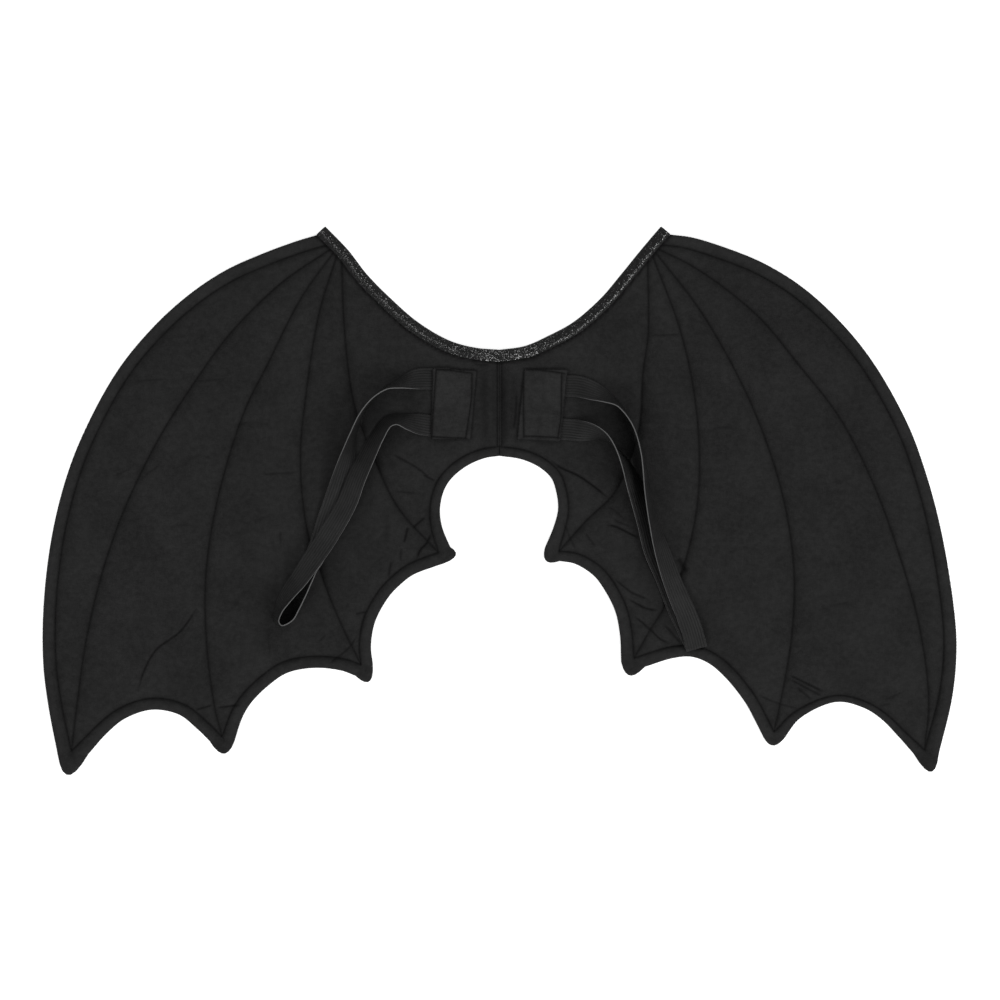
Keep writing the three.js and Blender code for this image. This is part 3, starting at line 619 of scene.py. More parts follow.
def edge_lines(side):
    """The stretches of the outer edge, each with the stitch line inside it."""
    hem = hem_line(side)
    corners = [place(side, [edge["corner"]])[0] for edge in EDGES[side]]
    starts = [point_at(hem, LEADING_ROOT), *corners]
    lines = []
    for index, edge in enumerate(EDGES[side]):
        rows = place(side, edge["rows"])
        if index == 0:
            rows = np.vstack([hem[:1], rows])
        line = even(curve(rows), EDGE_STEP)
        stitch = line - left_of(line) * outward(side) * RIM_WIDTH * edge["rim"]
        share = np.linspace(0, 1, len(line))[:, None]
        start_shift = starts[index] - stitch[0]
        end_shift = starts[index + 1] - stitch[-1]
        stitch = stitch + (1 - share) ** CORNER_PULL * start_shift + share**CORNER_PULL * end_shift
        lines.append((line, stitch))
    return lines


def tip_arc(side, edge, start, end):
    """The rounded tip between two stretches of the edge."""
    tip = place(side, [edge["tip"]])[0]
    pull = 2 * tip - (start + end) / 2
    share = np.linspace(0, 1, TIP_STEPS)[1:-1, None]
    return (1 - share) ** 2 * start + 2 * share * (1 - share) * pull + share**2 * end


def wing_plan(side):
    """The outline, the sewn lines and the creases of one wing, in plan."""
    edges = edge_lines(side)
    outline = []
    for index, (line, _) in enumerate(edges):
        outline.append(line)
        if index < len(edges) - 1:
            arc = tip_arc(side, EDGES[side][index], line[-1], edges[index + 1][0][0])
            outline.append(arc)
    tuck = neck_line(side, TUCK_DEPTH)[::-1]
    seam = even(np.array([outline[-1][-1], tuck[0]]), EDGE_STEP)
    neck_end = even(np.array([tuck[-1], outline[0][0]]), EDGE_STEP)
    outline = np.vstack([*outline, seam[1:-1], tuck, neck_end[1:-1]])
    outline[:, 0] = SEAM_X + outward(side) * np.maximum(outward(side) * (outline[:, 0] - SEAM_X), 0)

    hem = hem_line(side)
    ribs = []
    for index, (root, rows) in enumerate(RIBS[side]):
        foot = place(side, [EDGES[side][index]["corner"]])
        rib = np.vstack([[point_at(hem, root)], place(side, rows), foot])
        ribs.append(even(curve(rib), EDGE_STEP))
    seam_stitch = np.array([point_at(hem, 1), edges[-1][1][-1]])
    seam_stitch[:, 0] = SEAM_X + outward(side) * SEAM_STITCH
    sewn = [stitch for _, stitch in edges] + ribs + [even(seam_stitch, EDGE_STEP)]
    creases = [
        (force, width * CREASE_WIDTH, even(curve(place(side, rows)), EDGE_STEP))
        for force, width, rows in CREASES[side]
    ]
    return outline, sewn, creases


def nearest(lines, step=NEAREST_STEP):
    """A tree of points along the lines, to measure distances from."""
    samples = np.vstack([even(line, step) for line in lines])
    tree = KDTree(len(samples))
    for index, (x, y) in enumerate(samples):
        tree.insert((x, y, 0), index)
    tree.balance()
    return tree


def distances(places, tree):
    """How far each place is from the lines of a tree."""
    return np.array([tree.find((x, y, 0))[2] for x, y in places])


def smooth_step(values, start, end):
    """0 up to the start, 1 from the end on, and a soft rise between them."""
    share = np.clip((values - start) / (end - start), 0, 1)
    return share * share * (3 - 2 * share)


def bell(gaps, width):
    """1 where there is no gap, falling softly on both sides."""
    return np.exp(-((gaps / width) ** 2))


def rounded(share):
    """Height of a quarter round at a share of its depth."""
    return np.sqrt(1 - (1 - share) ** 2)


def waves(places, layer, grain):
    """Soft unevenness at each place, from one layer of noise."""
    return np.array([noise.noise(Vector((x, y, layer)) * grain) for x, y in places])


def ripples(places, layer, grain):
    """Unevenness with finer detail in it."""
    return np.array([noise.fractal(Vector((x, y, layer)) * grain, 1, 2, 3) for x, y in places])


def inside(places, outline):
    """Which places lie inside the closed outline."""
    found = np.zeros(len(places), bool)
    for (ax, ay), (bx, by) in zip(outline, np.roll(outline, -1, axis=0)):
        if ay == by:
            continue
        crosses = (ay > places[:, 1]) != (by > places[:, 1])
        level = ax + (places[:, 1] - ay) * (bx - ax) / (by - ay)
        found ^= crosses & (places[:, 0] < level)
    return found


def lattice(outline, step, seed):
    """Loosely even places all over the outline's inside."""
    low, high = outline.min(axis=0), outline.max(axis=0)
    rows = np.arange(low[1], high[1], step * math.sqrt(3) / 2)
    columns = np.arange(low[0], high[0], step)
    grid = [(x + step / 2 * (row % 2), y) for row, y in enumerate(rows) for x in columns]
    stray = np.random.default_rng(seed).uniform(-FIELD_STRAY, FIELD_STRAY, (len(grid), 2)) * step
    grid = np.array(grid) + stray
    return grid[inside(grid, outline)]


def triangulate(outline, lines, loose):
    """A flat sheet of triangles inside the outline, with the lines among its edges."""
    places = [outline, *lines, loose]
    edges = [(index, (index + 1) % len(outline)) for index in range(len(outline))]
    start = len(outline)
    for line in lines:
        edges += [(start + step, start + step + 1) for step in range(len(line) - 1)]
        start += len(line)
    points = [Vector(point) for point in np.vstack(places)]
    inside_only = 1
    plan, _, faces, origins, _, _ = delaunay_2d_cdt(points, edges, [], inside_only, SAME_PLACE)
    rim = [any(index < len(outline) for index in origin) for origin in origins]
    return np.array([tuple(point) for point in plan]), np.array(faces), np.array(rim)


def clear_of(places, tree, gap):
    """The places that keep a gap from the lines of a tree."""
    return places[distances(places, tree) > gap]


def beside(line, depth):
    """Both parallels of a line."""
    return np.vstack([line + left_of(line) * depth, line - left_of(line) * depth])


def fine_sheet(outline, sewn, creases, seed):
    """A dense flat sheet that follows the outline, the sewn lines and the fine creases."""
    edge_tree = nearest([looped(outline)])
    lines = [*sewn, *(line for _, width, line in creases if width < 2 * CREASE_WIDTH)]
    line_tree = nearest(lines)
    loose = []
    for depth in EDGE_ROWS:
        row = beside(outline, depth)
        row = row[inside(row, outline)]
        astray = np.abs(distances(row, edge_tree) - depth)
        loose.append(clear_of(row[astray < EDGE_ROW_SPREAD * depth], line_tree, EDGE_ROW_GAP))
    for depth in LINE_ROWS:
        row = np.vstack([beside(line, depth) for line in lines])
        row = clear_of(row[inside(row, outline)], edge_tree, LINE_ROW_GAP)
        loose.append(clear_of(row, line_tree, LINE_ROW_SPREAD * depth))
    field = clear_of(lattice(outline, FIELD_STEP, seed), edge_tree, FIELD_EDGE_GAP)
    loose.append(clear_of(field, line_tree, FIELD_LINE_GAP))
    return triangulate(outline, lines, np.vstack(loose))


def wing_heights(places, outline, from_stitch, from_edge, from_neck, in_rim):
    """Heights of the top and of the underside of a quilted wing before its felt puckers."""
    field = STITCHED_TOP + (FIELD_TOP - STITCHED_TOP) * (1 - np.exp(-from_stitch / FELT_SWELL))
    rim = STITCHED_TOP + (RIM_TOP - STITCHED_TOP) * (1 - np.exp(-from_stitch / RIM_SWELL))
    groove = np.exp(-from_stitch / np.where(in_rim, RIM_GROOVE, FIELD_GROOVE))
    top = np.where(in_rim, rim, field) - GROOVE_DEPTH * groove
    under = UNDERSIDE_DRAW * np.maximum(0, 1 - from_stitch / UNDERSIDE_REACH) ** 2
    bound = 1 - smooth_step(from_neck, BINDING_WIDTH, BINDING_WIDTH + BOUND_FADE)
    top = top + (np.minimum(top, STITCHED_TOP) - top) * bound
    under = under + (BOUND_UNDERSIDE - under) * bound
    middle = MIDDLE_HEIGHT + (BOUND_MIDDLE - MIDDLE_HEIGHT) * bound
    at_seam = np.abs(outline[:, 0] - SEAM_X) < SAME_PLACE
    from_free = distances(places, nearest([outline[~at_seam]], FREE_EDGE_STEP))
    from_seam = np.abs(places[:, 0] - SEAM_X)
    depth = np.clip(np.minimum(from_free / EDGE_ROUNDING, from_seam / SEAM_ROUNDING), 0, 1)
    depth[from_edge < AT_EDGE] = 0
    return middle + (top - middle) * rounded(depth), middle + (under - middle) * rounded(depth)


def mesh_object(name, places, faces):
    mesh = bpy.data.meshes.new(name)
    mesh.from_pydata([tuple(corner) for corner in places], [], [tuple(face) for face in faces])
    mesh.update()
    piece = bpy.data.objects.new(name, mesh)
    bpy.context.scene.collection.objects.link(piece)
    return piece


def drop(places, tree, way):
    """Heights of a surface over the places, looked at from above (-1) or from below (1)."""
    found = []
    for x, y in places:
        hit = tree.ray_cast(Vector((x, y, -way)), Vector((0, 0, way)))[0]
        found.append(hit.z if hit else math.nan)
    return np.array(found)


def strap_ground():
    """Places that the straps and their patches lie over."""
    places = []
    for side in SIDES:
        for rows in STRAPS[side]:
            places.append(even(curve(place(side, [row[:2] for row in rows])), GROUND_STEP))
        outer_top, inner_top, inner_low, outer_low = place(side, PATCHES[side]["corners"])
        for down in np.linspace(0, 1, GROUND_PATCH_ROWS):
            ends = [outer_top + (outer_low - outer_top) * down, inner_top + (inner_low - inner_top) * down]
            places.append(even(np.array(ends), GROUND_STEP))
    return nearest(places, GROUND_NEAREST_STEP)


def felt_slack(side, outline, sewn):
    """A simulated sheet of felt held at its sewing: its plan, its triangles and how far each point rose."""
    hem = neck_line(side, BINDING_WIDTH)[HEM_SKIPPED:]
    held_lines = [even(line, SLACK_STEP) for line in [*sewn, hem]]
    line_tree = nearest(held_lines)
    loose = clear_of(lattice(outline, SLACK_STEP, SLACK_SEED[side]), nearest([outline]), SLACK_GAP)
    plan, faces, rim = triangulate(outline[::2], held_lines, clear_of(loose, line_tree, SLACK_GAP))
    held = rim | (distances(plan, line_tree) < SLACK_HELD)

    start = np.where(held, 0, SLACK_START * waves(plan, 0.3, SLACK_START_GRAIN))
    sheet = mesh_object(f"slack_{side}", np.column_stack([plan * SLACK_SCALE, start]), faces)
    pins = sheet.vertex_groups.new(name="held")
    pins.add([int(index) for index in np.flatnonzero(held)], 1, "REPLACE")
    cloth = sheet.modifiers.new("Slack", "CLOTH")
    for setting, value in SLACK_CLOTH.items():
        setattr(cloth.settings, setting, value)
    cloth.settings.effector_weights.gravity = 0
    cloth.point_cache.frame_end = SLACK_FRAMES
    for step in range(1, SLACK_FRAMES + 1):
        bpy.context.scene.frame_set(step)
    settled = sheet.evaluated_get(bpy.context.evaluated_depsgraph_get()).data
    rise = np.array([corner.co.z for corner in settled.vertices]) / SLACK_SCALE
    bpy.data.objects.remove(sheet)
    bpy.context.scene.frame_set(1)
    return plan, faces, rise


def carried(places, plan, faces, values):
    """Values of a flat sheet of triangles, read off at other places."""
    flat = BVHTree.FromPolygons([(x, y, 0) for x, y in plan], faces.tolist())
    found = np.array([flat.find_nearest(Vector((x, y, 0)))[2] for x, y in places])
    a, b, c = (plan[faces[found, corner]] for corner in range(3))
    across, down, reach = b - a, c - a, places - a
    turn = across[:, 0] * down[:, 1] - across[:, 1] * down[:, 0]
    second = (reach[:, 0] * down[:, 1] - reach[:, 1] * down[:, 0]) / turn
    third = (across[:, 0] * reach[:, 1] - across[:, 1] * reach[:, 0]) / turn
    second, third = np.clip(second, 0, 1), np.clip(third, 0, 1)
    first = 1 - second - third
    corners = values[faces[found]]
    return first * corners[:, 0] + second * corners[:, 1] + third * corners[:, 2]


def crease_depths(places, creases):
    """How strongly each place is drawn down by the creases."""
    strength = np.zeros(len(places))
    for force, width, line in creases:
        line = even(line, CREASE_STEP)
        tree = nearest([line], CREASE_STEP)
        reach = CREASE_REACH * width
        near = np.all((places > line.min(axis=0) - reach) & (places < line.max(axis=0) + reach), axis=1)
        for index in np.flatnonzero(near):
            _, station, gap = tree.find((*places[index], 0))
            fade = min(1, CREASE_ENDS * min(station, len(line) - station) / len(line))
            strength[index] = max(strength[index], force * fade * bell(gap, width))
    return strength


def closed_sheet(name, plan, faces, rim, top, under):
    """A closed piece from a flat sheet of triangles and the heights of its two faces."""
    a, b, c = (plan[faces[:, corner]] for corner in range(3))
    turn = (b[:, 0] - a[:, 0]) * (c[:, 1] - a[:, 1]) - (b[:, 1] - a[:, 1]) * (c[:, 0] - a[:, 0])
    faces = np.where(turn[:, None] > 0, faces, faces[:, ::-1])
    lower = np.arange(len(plan)) + len(plan)
    lower[rim] = np.flatnonzero(rim)
    used = np.concatenate([np.arange(len(plan)), lower[~rim]])
    heights = np.concatenate([top, under])
    fresh = np.zeros(2 * len(plan), int)
    fresh[used] = np.arange(len(used))
    places = np.column_stack([np.vstack([plan, plan])[used], heights[used]])
    all_faces = np.vstack([faces, lower[faces][:, ::-1]])
    piece = mesh_object(name, places, fresh[all_faces])
    piece.data.shade_smooth()
    return piece, used % len(plan)


def give_values(piece, name, values):
    """A named value at every point of the piece, for its material."""
    record = piece.data.attributes.new(name, "FLOAT", "POINT")
    record.data.foreach_set("value", np.asarray(values, np.float32))


def stitch_shape():
    """One stitch, a metre long and a metre thick, that dives into the cloth at both ends.

    Laying it on the cloth mirrors it, so its faces are turned here.
    """
    bpy.ops.object.select_all(action="DESELECT")
    bpy.ops.mesh.primitive_uv_sphere_add(segments=6, ring_count=5, radius=0.5, rotation=(0, math.pi / 2, 0))
    bpy.ops.object.transform_apply(location=False, rotation=True, scale=False)
    grain = bpy.context.object
    corners = np.array([tuple(corner.co) for corner in grain.data.vertices])
    faces = [list(face.vertices)[::-1] for face in grain.data.polygons]
    bpy.data.objects.remove(grain)
    corners[:, 2] -= STITCH_DIVE * (2 * corners[:, 0]) ** 4
    return corners, faces


def sew(name, lines, surfaces):
    """Stitches laid along the lines, on each of the surfaces: a tree and the way it is looked at."""
    shape, shape_faces = stitch_shape()
    reach, aside, rise = shape.T * [[STITCH_LENGTH], [STITCH_THICKNESS], [STITCH_THICKNESS]]
    places, faces = [], []
    for line in lines:
        stations = even(line, STITCH_PITCH)
        middles = (stations[1:] + stations[:-1]) / 2
        along = stations[1:] - stations[:-1]
        along /= np.linalg.norm(along, axis=1, keepdims=True)
        foot = along * STITCH_LENGTH * STITCH_FOOT
        for tree, way in surfaces:
            heights = [drop(spots, tree, way) for spots in (middles - foot, middles, middles + foot)]
            for middle, ahead, low, height, high in zip(middles, along, *heights):
                if math.isnan(low + height + high):
                    continue
                climb = (high - low) / (2 * STITCH_FOOT * STITCH_LENGTH)
                level = (low + 2 * height + high) / 4 - way * STITCH_PROUD * STITCH_THICKNESS
                start = len(places) * len(shape)
                faces += [[start + corner for corner in face] for face in shape_faces]
                across = middle[0] + reach * ahead[0] - way * aside * ahead[1]
                up = middle[1] + reach * ahead[1] + way * aside * ahead[0]
                places.append(np.column_stack([across, up, level + reach * climb - way * rise]))
    piece = mesh_object(name, np.vstack(places), faces)
    piece.data.shade_smooth()
    return piece


def build_wing(side, ground):
    """One quilted wing panel with the painted shade and painted highlight that its material reads, and its
    sewn lines.
    """
    outline, sewn, creases = wing_plan(side)
    plan, faces, rim = fine_sheet(outline, sewn, creases, WING_SEED[side])
    measured = (sewn, [looped(outline)], [neck_line(side, 0)])
    from_stitch, from_edge, from_neck = (distances(plan, nearest(lines)) for lines in measured)
    rims = [np.vstack([line, stitch[::-1]]) for line, stitch in edge_lines(side)]
    in_rim = np.any([inside(plan, area) for area in rims], axis=0)
    top, under = wing_heights(plan, outline, from_stitch, from_edge, from_neck, in_rim)
    free = smooth_step(from_neck, BINDING_WIDTH, BINDING_WIDTH + HEM_FADE)
    free *= smooth_step(from_edge, 0, EDGE_FADE)
    rise = carried(plan, *felt_slack(side, outline, sewn))
    top += SLACK_CAP * np.tanh(rise / SLACK_CAP) * free
    drawn = crease_depths(plan, creases)
    top -= CREASE_DEPTH * drawn * np.clip(from_edge / CREASE_FADE, 0, 1)
    top += RIPPLE * ripples(plan, 0.7, RIPPLE_GRAIN) * free
    pressed = 1 - smooth_step(distances(plan, ground), *PRESSED_FADE)
    top -= np.maximum(0, top - (BED - PRESSED_GAP)) * pressed
    top = np.maximum(top, under + THINNEST * np.clip(from_edge / THIN_REACH, 0, 1))
    piece, origins = closed_sheet(f"felt_wing_{side}", plan, faces, rim, top, under)
    # Painted shade along the stitch lines, wider beside them in the field
    stitch_shade = bell(from_stitch, np.where(in_rim, RIM_STITCH_SHADE, FIELD_STITCH_SHADE))
    stitch_shade = np.maximum(stitch_shade, SHADE_FORCE * bell(from_stitch, SHADE_MARK) * ~in_rim)
    # Painted shade at the foot of the binding, kept with the painted shade in the creases
    hem_shade = bell(from_neck - BINDING_WIDTH - HEM_SHADE_IN, HEM_SHADE)
    # A painted highlight along the middle of the rim
    rim_highlight = in_rim * bell(from_edge - RIM_HIGHLIGHT_IN, RIM_HIGHLIGHT)
    give_values(piece, "stitch_shade", stitch_shade[origins])
    give_values(piece, "crease_and_edge_shade", np.maximum(drawn, hem_shade)[origins])
    give_values(piece, "rim_highlight", rim_highlight[origins])
    return piece, sewn


def surface_tree(piece):
    """A tree of a piece's faces, to find its surface with."""
    corners = [corner.co for corner in piece.data.vertices]
    return BVHTree.FromPolygons(corners, [face.vertices for face in piece.data.polygons])


def patch_cut(side):
    """The slightly uneven outline that a patch is cut to."""
    corners = place(side, PATCHES[side]["corners"])
    cuts = []
    for start, end in zip(corners, np.roll(corners, -1, axis=0)):
        cut = even(np.array([start, end]), PATCH_EDGE_STEP)
        sway = PATCH_SWAY * waves(cut, 0.2, PATCH_SWAY_GRAIN)
        cut = cut + left_of(cut) * sway[:, None]
        cut[0] = start
        cuts.append(cut[:-1])
    return np.vstack(cuts)


def patch_bed(side, places):
    """Heights that a patch lies at, over the two strap ends under it."""
    strands = sum(STRAPS[side], [])
    ends = place(side, [strands[0][:2], strands[-1][:2]])
    across = np.abs(places[:, None, 1] - ends[None, :, 1]) - STRAP_WIDTH / 2 - PATCH_MARGIN
    beyond = outward(side) * (ends[None, :, 0] - places[:, None, 0]) - PATCH_MARGIN
    covered = 1 - smooth_step(np.maximum(across, beyond), 0, PATCH_SLOPE)
    return BED + covered.max(axis=1) * (STRAP_THICKNESS + CLEARANCE)


def patch_size(side):
    """Width and length of a patch."""
    outer_top, inner_top, _, outer_low = place(side, PATCHES[side]["corners"])
    return float(np.linalg.norm(inner_top - outer_top)), float(np.linalg.norm(outer_low - outer_top))


def build_patch(side):
    """A square of felt over the two strap ends, and the box of stitches that sews it down."""
    stitches = [even(curve(place(side, rows)), PATCH_STITCH_STEP) for rows in PATCHES[side]["stitches"]]
    outline = patch_cut(side)
    edge_tree, line_tree = nearest([looped(outline)]), nearest(stitches)
    loose = clear_of(lattice(outline, PATCH_STEP, PATCH_SEED), edge_tree, PATCH_EDGE_GAP)
    plan, faces, rim = triangulate(outline, stitches, clear_of(loose, line_tree, PATCH_LINE_GAP))
    from_stitch, from_edge = distances(plan, line_tree), distances(plan, edge_tree)
    rounding = rounded(np.clip(from_edge / PATCH_ROUNDING, 0, 1))
    middle = patch_bed(side, plan) + PATCH_THICKNESS / 2
    dip = PATCH_DIP * bell(from_stitch, PATCH_DIP_WIDTH)
    swell = PATCH_SWELL * ripples(plan, 0.9, PATCH_SWELL_GRAIN)
    top = middle + (PATCH_THICKNESS / 2 - dip + swell + PATCH_PROUD) * rounding
    under = middle - PATCH_THICKNESS / 2 * rounding
    piece, origins = closed_sheet(f"felt_patch_{side}", plan, faces, rim, top, under)
    # Painted shade along the box stitching, and a painted shadow round the patch's edges
    give_values(piece, "stitch_shade", bell(from_stitch, PATCH_STITCH_SHADE)[origins])
    give_values(piece, "crease_and_edge_shade", PATCH_EDGE_SHADE_FORCE * np.exp(-from_edge / PATCH_EDGE_SHADE)[origins])
    return piece, stitches


def strand_stations(side, rows):
    """Centres, width directions and thickness directions of a strand, at even steps."""
    route = curve(place(side, [row[:2] for row in rows]), STRAP_SAMPLES)
    turns = curve([(lean, 1000 * lift * STRAP_WIDTH) for _, _, lean, lift in rows], STRAP_SAMPLES)
    laid = even(np.column_stack([route, turns]), STRAP_STEP)
    aside = -outward(side) * left_of(laid[:, :2])
    aside = np.column_stack([aside, np.zeros(len(aside))])
    angle = np.radians(laid[:, 2:3])
    up = np.array([[0, 0, 1]])
    wide = aside * np.cos(angle) + up * np.sin(angle)
    thick = up * np.cos(angle) - aside * np.sin(angle)
    rest = (np.abs(np.sin(angle)) * STRAP_WIDTH + np.abs(np.cos(angle)) * STRAP_THICKNESS) / 2
    centres = np.column_stack([laid[:, :2], BED + rest[:, 0] + laid[:, 3] / 1000])
    return centres, wide, thick


def fold_stations(upper, lower):
    """The turn of the band where it is folded back under itself."""
    (top, wide, _), (bottom, _, _) = upper, lower
    middle, radius = (top + bottom) / 2, np.linalg.norm(top - bottom) / 2
    ahead = np.array([-wide[1], wide[0], 0]) * (1 if wide[0] < 0 else -1)
    ahead /= np.linalg.norm(ahead)
    angles = np.linspace(math.pi / 2, -math.pi / 2, STRAP_FOLD_STEPS)[1:-1]
    thick = np.array([ahead * math.cos(angle) + np.array([0, 0, math.sin(angle)]) for angle in angles])
    return middle + thick * radius, np.repeat([wide], len(angles), axis=0), thick


def strap_section():
    """Across, through and edge share of the points round the elastic's ribbed section."""
    points = []
    half, deep = STRAP_WIDTH / 2, STRAP_THICKNESS / 2
    for face in (1, -1):
        for share in np.linspace(-1, 1, 4 * STRAP_RIBS + 1) * face:
            dip = STRAP_RIB_DEPTH * (0.5 + 0.5 * math.cos(math.pi * (share + 1) * STRAP_RIBS))
            points.append((share * (half - STRAP_MARGIN), face * (deep - dip), 0))
        for inset, height, pale in STRAP_EDGE:
            points.append((face * (half - inset), face * deep * height, pale))
    return np.array(points)


def build_strap(side):
    """One arm loop of ribbed elastic, and its length."""
    strands = [strand_stations(side, rows) for rows in STRAPS[side]]
    if len(strands) == 2:
        upper, lower = strands
        fold = fold_stations([part[-1] for part in upper], [part[0] for part in lower])
        strands = [upper, fold, lower]
    centres, wide, thick = (np.vstack(parts)[:, None] for parts in zip(*strands))
    section = strap_section()
    steps = np.linalg.norm(np.diff(centres[:, 0], axis=0), axis=1)
    along = np.concatenate([[0], np.cumsum(steps)])
    sways = [noise.noise(Vector((station * STRAP_SWAY_GRAIN, 0.5, 0.1))) for station in along]
    widths = 1 + STRAP_SWAY * np.array(sways)[:, None]
    reach = (section[:, 0] * widths)[:, :, None]
    rings = centres + wide * reach + thick * section[:, 1, None]
    piece = closed_band(f"elastic_strap_{side}", rings)
    give_values(piece, "along", np.repeat(along, len(section)))
    give_values(piece, "across", np.tile(section[:, 0], len(rings)))
    give_values(piece, "selvedge", np.tile(section[:, 2], len(rings)))
    return piece, along[-1]


def face_out(piece):
    """Turns every face of a closed piece outwards."""
    bpy.ops.object.select_all(action="DESELECT")
    piece.select_set(True)
    bpy.context.view_layer.objects.active = piece
    bpy.ops.object.mode_set(mode="EDIT")
    bpy.ops.mesh.select_all(action="SELECT")
    bpy.ops.mesh.normals_make_consistent(inside=False)
    bpy.ops.object.mode_set(mode="OBJECT")
    piece.select_set(False)


def closed_band(name, rings):
    """A band through the rings of its sections, closed at both ends."""
    count = len(rings[0])
    last = (len(rings) - 1) * count
    faces = []
    for near in range(0, last, count):
        far = near + count
        for corner in range(count):
            after = (corner + 1) % count
            faces.append((near + corner, far + corner, far + after, near + after))
    faces.append(tuple(range(count)))
    faces.append(tuple(range(last, last + count))[::-1])
    piece = mesh_object(name, np.vstack(rings), faces)
    face_out(piece)
    piece.data.shade_smooth()
    return piece


def binding_line():
    """The neck edge from corner to corner, and the directions from it towards the panels."""
    lines, asides = [], []
    for side in SIDES:
        line = even(curve(place(side, NECK[side])), BINDING_STEP)
        aside = left_of(line) * outward(side)
        line[-1, 0] = SEAM_X
        aside[-1] = (0, -1)
        lines.append(line)
        asides.append(aside)
    return [np.vstack([left, right[::-1][1:]]) for left, right in (lines, asides)]


def binding_face(ridge, station):
    """The binding's outer face at one station of its length, as depths and heights."""
    face = curve([
        ((ridge if depth == "ridge" else depth) * BINDING_WIDTH,
         height * BINDING_TOP + crown * BINDING_CROWN - turn * BINDING_CLOTH)
        for depth, height, crown, turn in BINDING_FACE
    ], BINDING_SAMPLES)
    pucker = noise.noise(Vector((station * PUCKER_GRAIN, 0.4, 0.2)))
    slack = noise.noise(Vector((station * SLACK_GRAIN, 0.1, 0.6)))
    lift = PUCKER_LIFT * pucker + SLACK_LIFT * slack
    face[:, 1] += lift * smooth_step(face[:, 1], LIFT_FROM * BINDING_TOP, BINDING_TOP + BINDING_CROWN)
    face[:, 0] += HEM_SWAY * slack * smooth_step(face[:, 0], SWAY_FROM * BINDING_WIDTH, BINDING_WIDTH)
    return face


def build_binding():
    """The folded band of glitter cloth over the neck edge, and its length."""
    line, aside = binding_line()
    along = lengths(line)
    shares = along / along[-1]
    shift = smooth_step(shares, *RIDGE_SHIFT)
    ridges = BINDING_RIDGE["left"] + (BINDING_RIDGE["right"] - BINDING_RIDGE["left"]) * shift
    middles = bell(shares - MIDDLE_STRIP_AT, MIDDLE_STRIP)
    rings, glitter = [], []
    for centre, towards, station, ridge, middle in zip(line, aside, along, ridges, middles):
        face = binding_face(ridge, station)
        # A painted highlight: extra flakes along the ridge, fainter near the middle
        ridge_highlight = bell(face[:, 0] / BINDING_WIDTH - ridge, RIDGE_HIGHLIGHT) * (1 - MIDDLE_STRIP_FADE * middle)
        glitter.append(np.maximum(ridge_highlight, MIDDLE_STRIP_FORCE * middle))
        glitter.append(np.zeros(len(BINDING_LINING)))
        section = np.vstack([face, BINDING_LINING])
        rings.append(np.column_stack([centre + towards * section[:, :1], section[:, 1]]))
    piece = closed_band("glitter_binding", rings)
    piece.data.set_sharp_from_angle(angle=math.radians(BINDING_CREASE_ANGLE))
    give_values(piece, "ridge", np.concatenate(glitter))
    return piece, along[-1]


class Value:
    """A value in a material. Sums written with it become Math nodes."""

    def __init__(self, finish, socket):
        self.finish = finish
        self.socket = socket

    def maths(self, operation, first, second):
        return self.finish.node("Math", {"operation": operation}, {0: first, 1: second})

    def __add__(self, other):
        return self.maths("ADD", self, other)

    def __radd__(self, other):
        return self.maths("ADD", other, self)

    def __sub__(self, other):
        return self.maths("SUBTRACT", self, other)

    def __rsub__(self, other):
        return self.maths("SUBTRACT", other, self)

    def __mul__(self, other):
        return self.maths("MULTIPLY", self, other)

    def __rmul__(self, other):
        return self.maths("MULTIPLY", other, self)


class Finish:
    """A procedural material and the nodes that make it."""

    def __init__(self, name, roughness, specular, **constants):
        self.material = bpy.data.materials.new(name)
        self.material.use_nodes = True
        self.tree = self.material.node_tree
        self.shader = self.tree.nodes["Principled BSDF"]
        self.shader.inputs["Roughness"].default_value = roughness
        self.shader.inputs["Specular IOR Level"].default_value = specular
        for socket, value in constants.items():
            self.shader.inputs[socket.replace("_", " ")].default_value = value

    def node(self, kind, settings, sockets, output=0):
        """Adds a node: its settings are set first, then the values or links of its sockets."""
        node = self.tree.nodes.new(f"ShaderNode{kind}")
        for setting, value in settings.items():
            setattr(node, setting, value)
        for socket, value in sockets.items():
            if isinstance(value, Value):
                self.tree.links.new(value.socket, node.inputs[socket])
            else:
                node.inputs[socket].default_value = value
        return Value(self, node.outputs[output])

    def set(self, socket, value):
        self.tree.links.new(value.socket, self.shader.inputs[socket])

    def place(self, stretch=(1, 1, 1), turn=0):
        coordinates = self.node("TexCoord", {}, {}, "Object")
        return self.node("Mapping", {}, {"Vector": coordinates, "Scale": stretch, "Rotation": (0, 0, turn)})

    def given(self, name):
        return self.node("Attribute", {"attribute_name": name}, {}, "Fac")

    def noise(self, vector, scale, detail=2.0, roughness=0.5):
        sockets = {"Vector": vector, "Scale": scale, "Detail": detail, "Roughness": roughness}
        return self.node("TexNoise", {}, sockets, 0)

    def range(self, value, low, high, start=0.0, end=1.0):
        sockets = {"Value": value, "From Min": low, "From Max": high, "To Min": start, "To Max": end}
        return self.node("MapRange", {"interpolation_type": "SMOOTHSTEP"}, sockets)

    def blend(self, share, first, second):
        """A colour between two others."""
        sockets = {"Factor": share, 6: first, 7: second}
        return self.node("Mix", {"data_type": "RGBA"}, sockets, 2)

    def bump(self, height, distance, strength=1.0):
        sockets = {"Height": height, "Distance": distance, "Strength": strength}
        self.set("Normal", self.node("Bump", {}, sockets))


def grey(tone):
    return (tone, tone, tone, 1)


